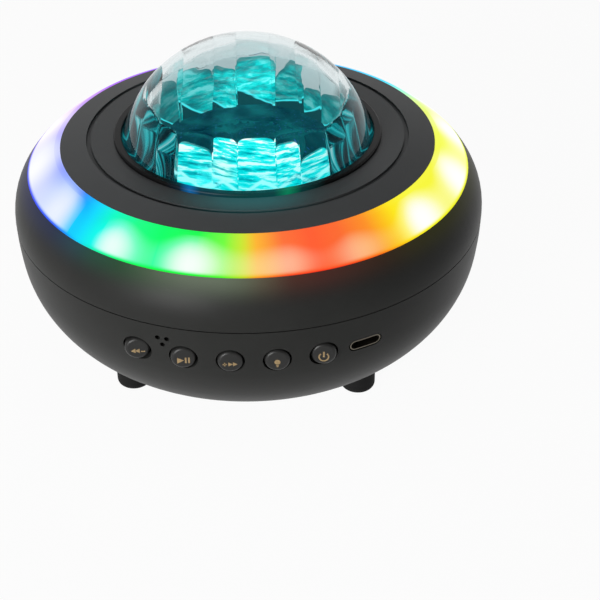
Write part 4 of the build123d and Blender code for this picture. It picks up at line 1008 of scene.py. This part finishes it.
def seen_rays(shade):
    """1 for what the camera sees, itself or in a gloss or through something clear."""
    names = shade.node("ShaderNodeLightPath").socket.node.outputs
    seen = Shade(shade.tree, names["Is Camera Ray"])
    for name in ("Is Glossy Ray", "Is Transmission Ray"):
        seen = shade.math("MAXIMUM", seen, Shade(shade.tree, names[name]))
    return seen


# Lamps of the stage: name, place, size and share of the key light's power; and the place that they face
LAMPS = (("top", (-0.15, -0.10, 1.1), 1.1, 0.32), ("front", (-0.64, -0.95, 0.20), 0.5, 2.5))
LAMP_TARGET = Vector((0.0, 0.0, 0.04))

FLOOR_SIZE = 8.0
FLOOR_TONES = ((0.93, 0.93, 0.93, 1.0), (0.96, 0.96, 0.96, 1.0))

# Directions in which the room dims in reflections: how far up, and how little towards the back
ROOM_UP, ROOM_BACK = (0.02, 0.30), (0.80, 0.55)
CLIP_START = 0.01


class AURORA_OT_stage(bpy.types.Operator):
    """Set the floor, the light and the camera"""

    bl_idname = "aurora.stage"
    bl_label = "Stage"

    def execute(self, context):
        settings = context.scene.aurora_stage
        self.floor(settings)
        self.world(context.scene, settings)
        self.lamps(settings)
        self.camera(context.scene, settings)
        context.scene.view_settings.view_transform = "Standard"
        return {"FINISHED"}

    def floor(self, settings):
        """White floor, which shows from above only."""
        bpy.ops.object.select_all(action="DESELECT")
        bpy.ops.mesh.primitive_plane_add(size=FLOOR_SIZE, location=(0.0, 0.0, 0.0))
        floor = bpy.context.object
        floor.name = "floor"
        material, shade, shader = new_material("floor_white", roughness=0.9, specular_ior_level=0.0)
        uneven = noise(shade, object_coordinates(shade), 120 * MM)
        shade.fill(shader.inputs["Base Color"], uneven.mixed(*FLOOR_TONES))
        white = shade.node("ShaderNodeEmission", None, {"Color": WHITE})
        grey = Shade(shade.tree, shader.outputs[0])
        share = seen_rays(shade) * settings.floor_white
        above = shade.node("ShaderNodeMixShader", None, {0: share, 1: grey, 2: white})
        clear = shade.node("ShaderNodeBsdfTransparent")
        below = shade.node("ShaderNodeNewGeometry", output="Backfacing")
        both = shade.node("ShaderNodeMixShader", None, {0: below, 1: above, 2: clear})
        shade.fill(material.node_tree.nodes["Material Output"].inputs["Surface"], both)
        floor.data.materials.append(material)

    def world(self, scene, settings):
        """White surroundings, which light the part only a little and dim above and aside in reflections."""
        world = bpy.data.worlds.new("studio")
        scene.world = world
        world.use_nodes = True
        shade = Shade(world.node_tree)
        background = world.node_tree.nodes["Background"]
        level = settings.world_level
        _, behind, height = split_place(shade, shade.node("ShaderNodeTexCoord"))
        dim = height.clamped(*ROOM_UP) * behind.clamped(*ROOM_BACK)
        dim = dim * shade.node("ShaderNodeLightPath", output="Is Glossy Ray")
        seen = seen_rays(shade) * (1.0 - dim * settings.room_dark)
        shade.fill(background.inputs["Strength"], seen * (1.0 - level) + level)
        background.inputs["Color"].default_value = WHITE

    def lamps(self, settings):
        """Soft lamps above and at the front left."""
        for name, place, size, share in LAMPS:
            light = bpy.data.lights.new(name, "AREA")
            light.energy = settings.key_watts * share
            light.size = size
            lamp = bpy.data.objects.new(name, light)
            bpy.context.scene.collection.objects.link(lamp)
            lamp.location = place
            lamp.rotation_euler = (LAMP_TARGET - Vector(place)).to_track_quat("-Z", "Y").to_euler()

    def camera(self, scene, settings):
        """Camera of the photograph."""
        data = bpy.data.cameras.new("camera")
        data.lens = settings.lens
        data.clip_start = CLIP_START
        camera = bpy.data.objects.new("camera", data)
        scene.collection.objects.link(camera)
        camera.location = settings.place
        camera.rotation_euler = settings.turn
        scene.camera = camera


class AURORA_PT_panel(bpy.types.Panel):
    """Lists the steps"""

    bl_idname = "AURORA_PT_panel"
    bl_label = "Aurora projector"
    bl_space_type = "VIEW_3D"
    bl_region_type = "UI"
    bl_category = "Aurora"

    def draw(self, context):
        for step in STEPS:
            self.layout.operator(step.bl_idname)


GROUPS = {"aurora_ring": AuroraRing, "aurora_dome": AuroraDome, "aurora_keys": AuroraKeys, "aurora_stage": AuroraStage}
STEPS = (AURORA_OT_finishes, AURORA_OT_light_ring, AURORA_OT_dome, AURORA_OT_projection, AURORA_OT_keys,
         AURORA_OT_symbols, AURORA_OT_stage)
CLASSES = (*GROUPS.values(), *STEPS, AURORA_PT_panel)


def register():
    for kind in CLASSES:
        bpy.utils.register_class(kind)
    for name, group in GROUPS.items():
        setattr(bpy.types.Scene, name, PointerProperty(type=group))


def unregister():
    for name in GROUPS:
        delattr(bpy.types.Scene, name)
    for kind in reversed(CLASSES):
        bpy.utils.unregister_class(kind)


def main():
    register()
    bpy.ops.aurora.finishes()
    bpy.ops.aurora.light_ring()
    bpy.ops.aurora.dome()
    bpy.ops.aurora.projection()
    bpy.ops.aurora.keys()
    bpy.ops.aurora.symbols()
    bpy.ops.aurora.stage()


if __name__ == "__main__":
    main()
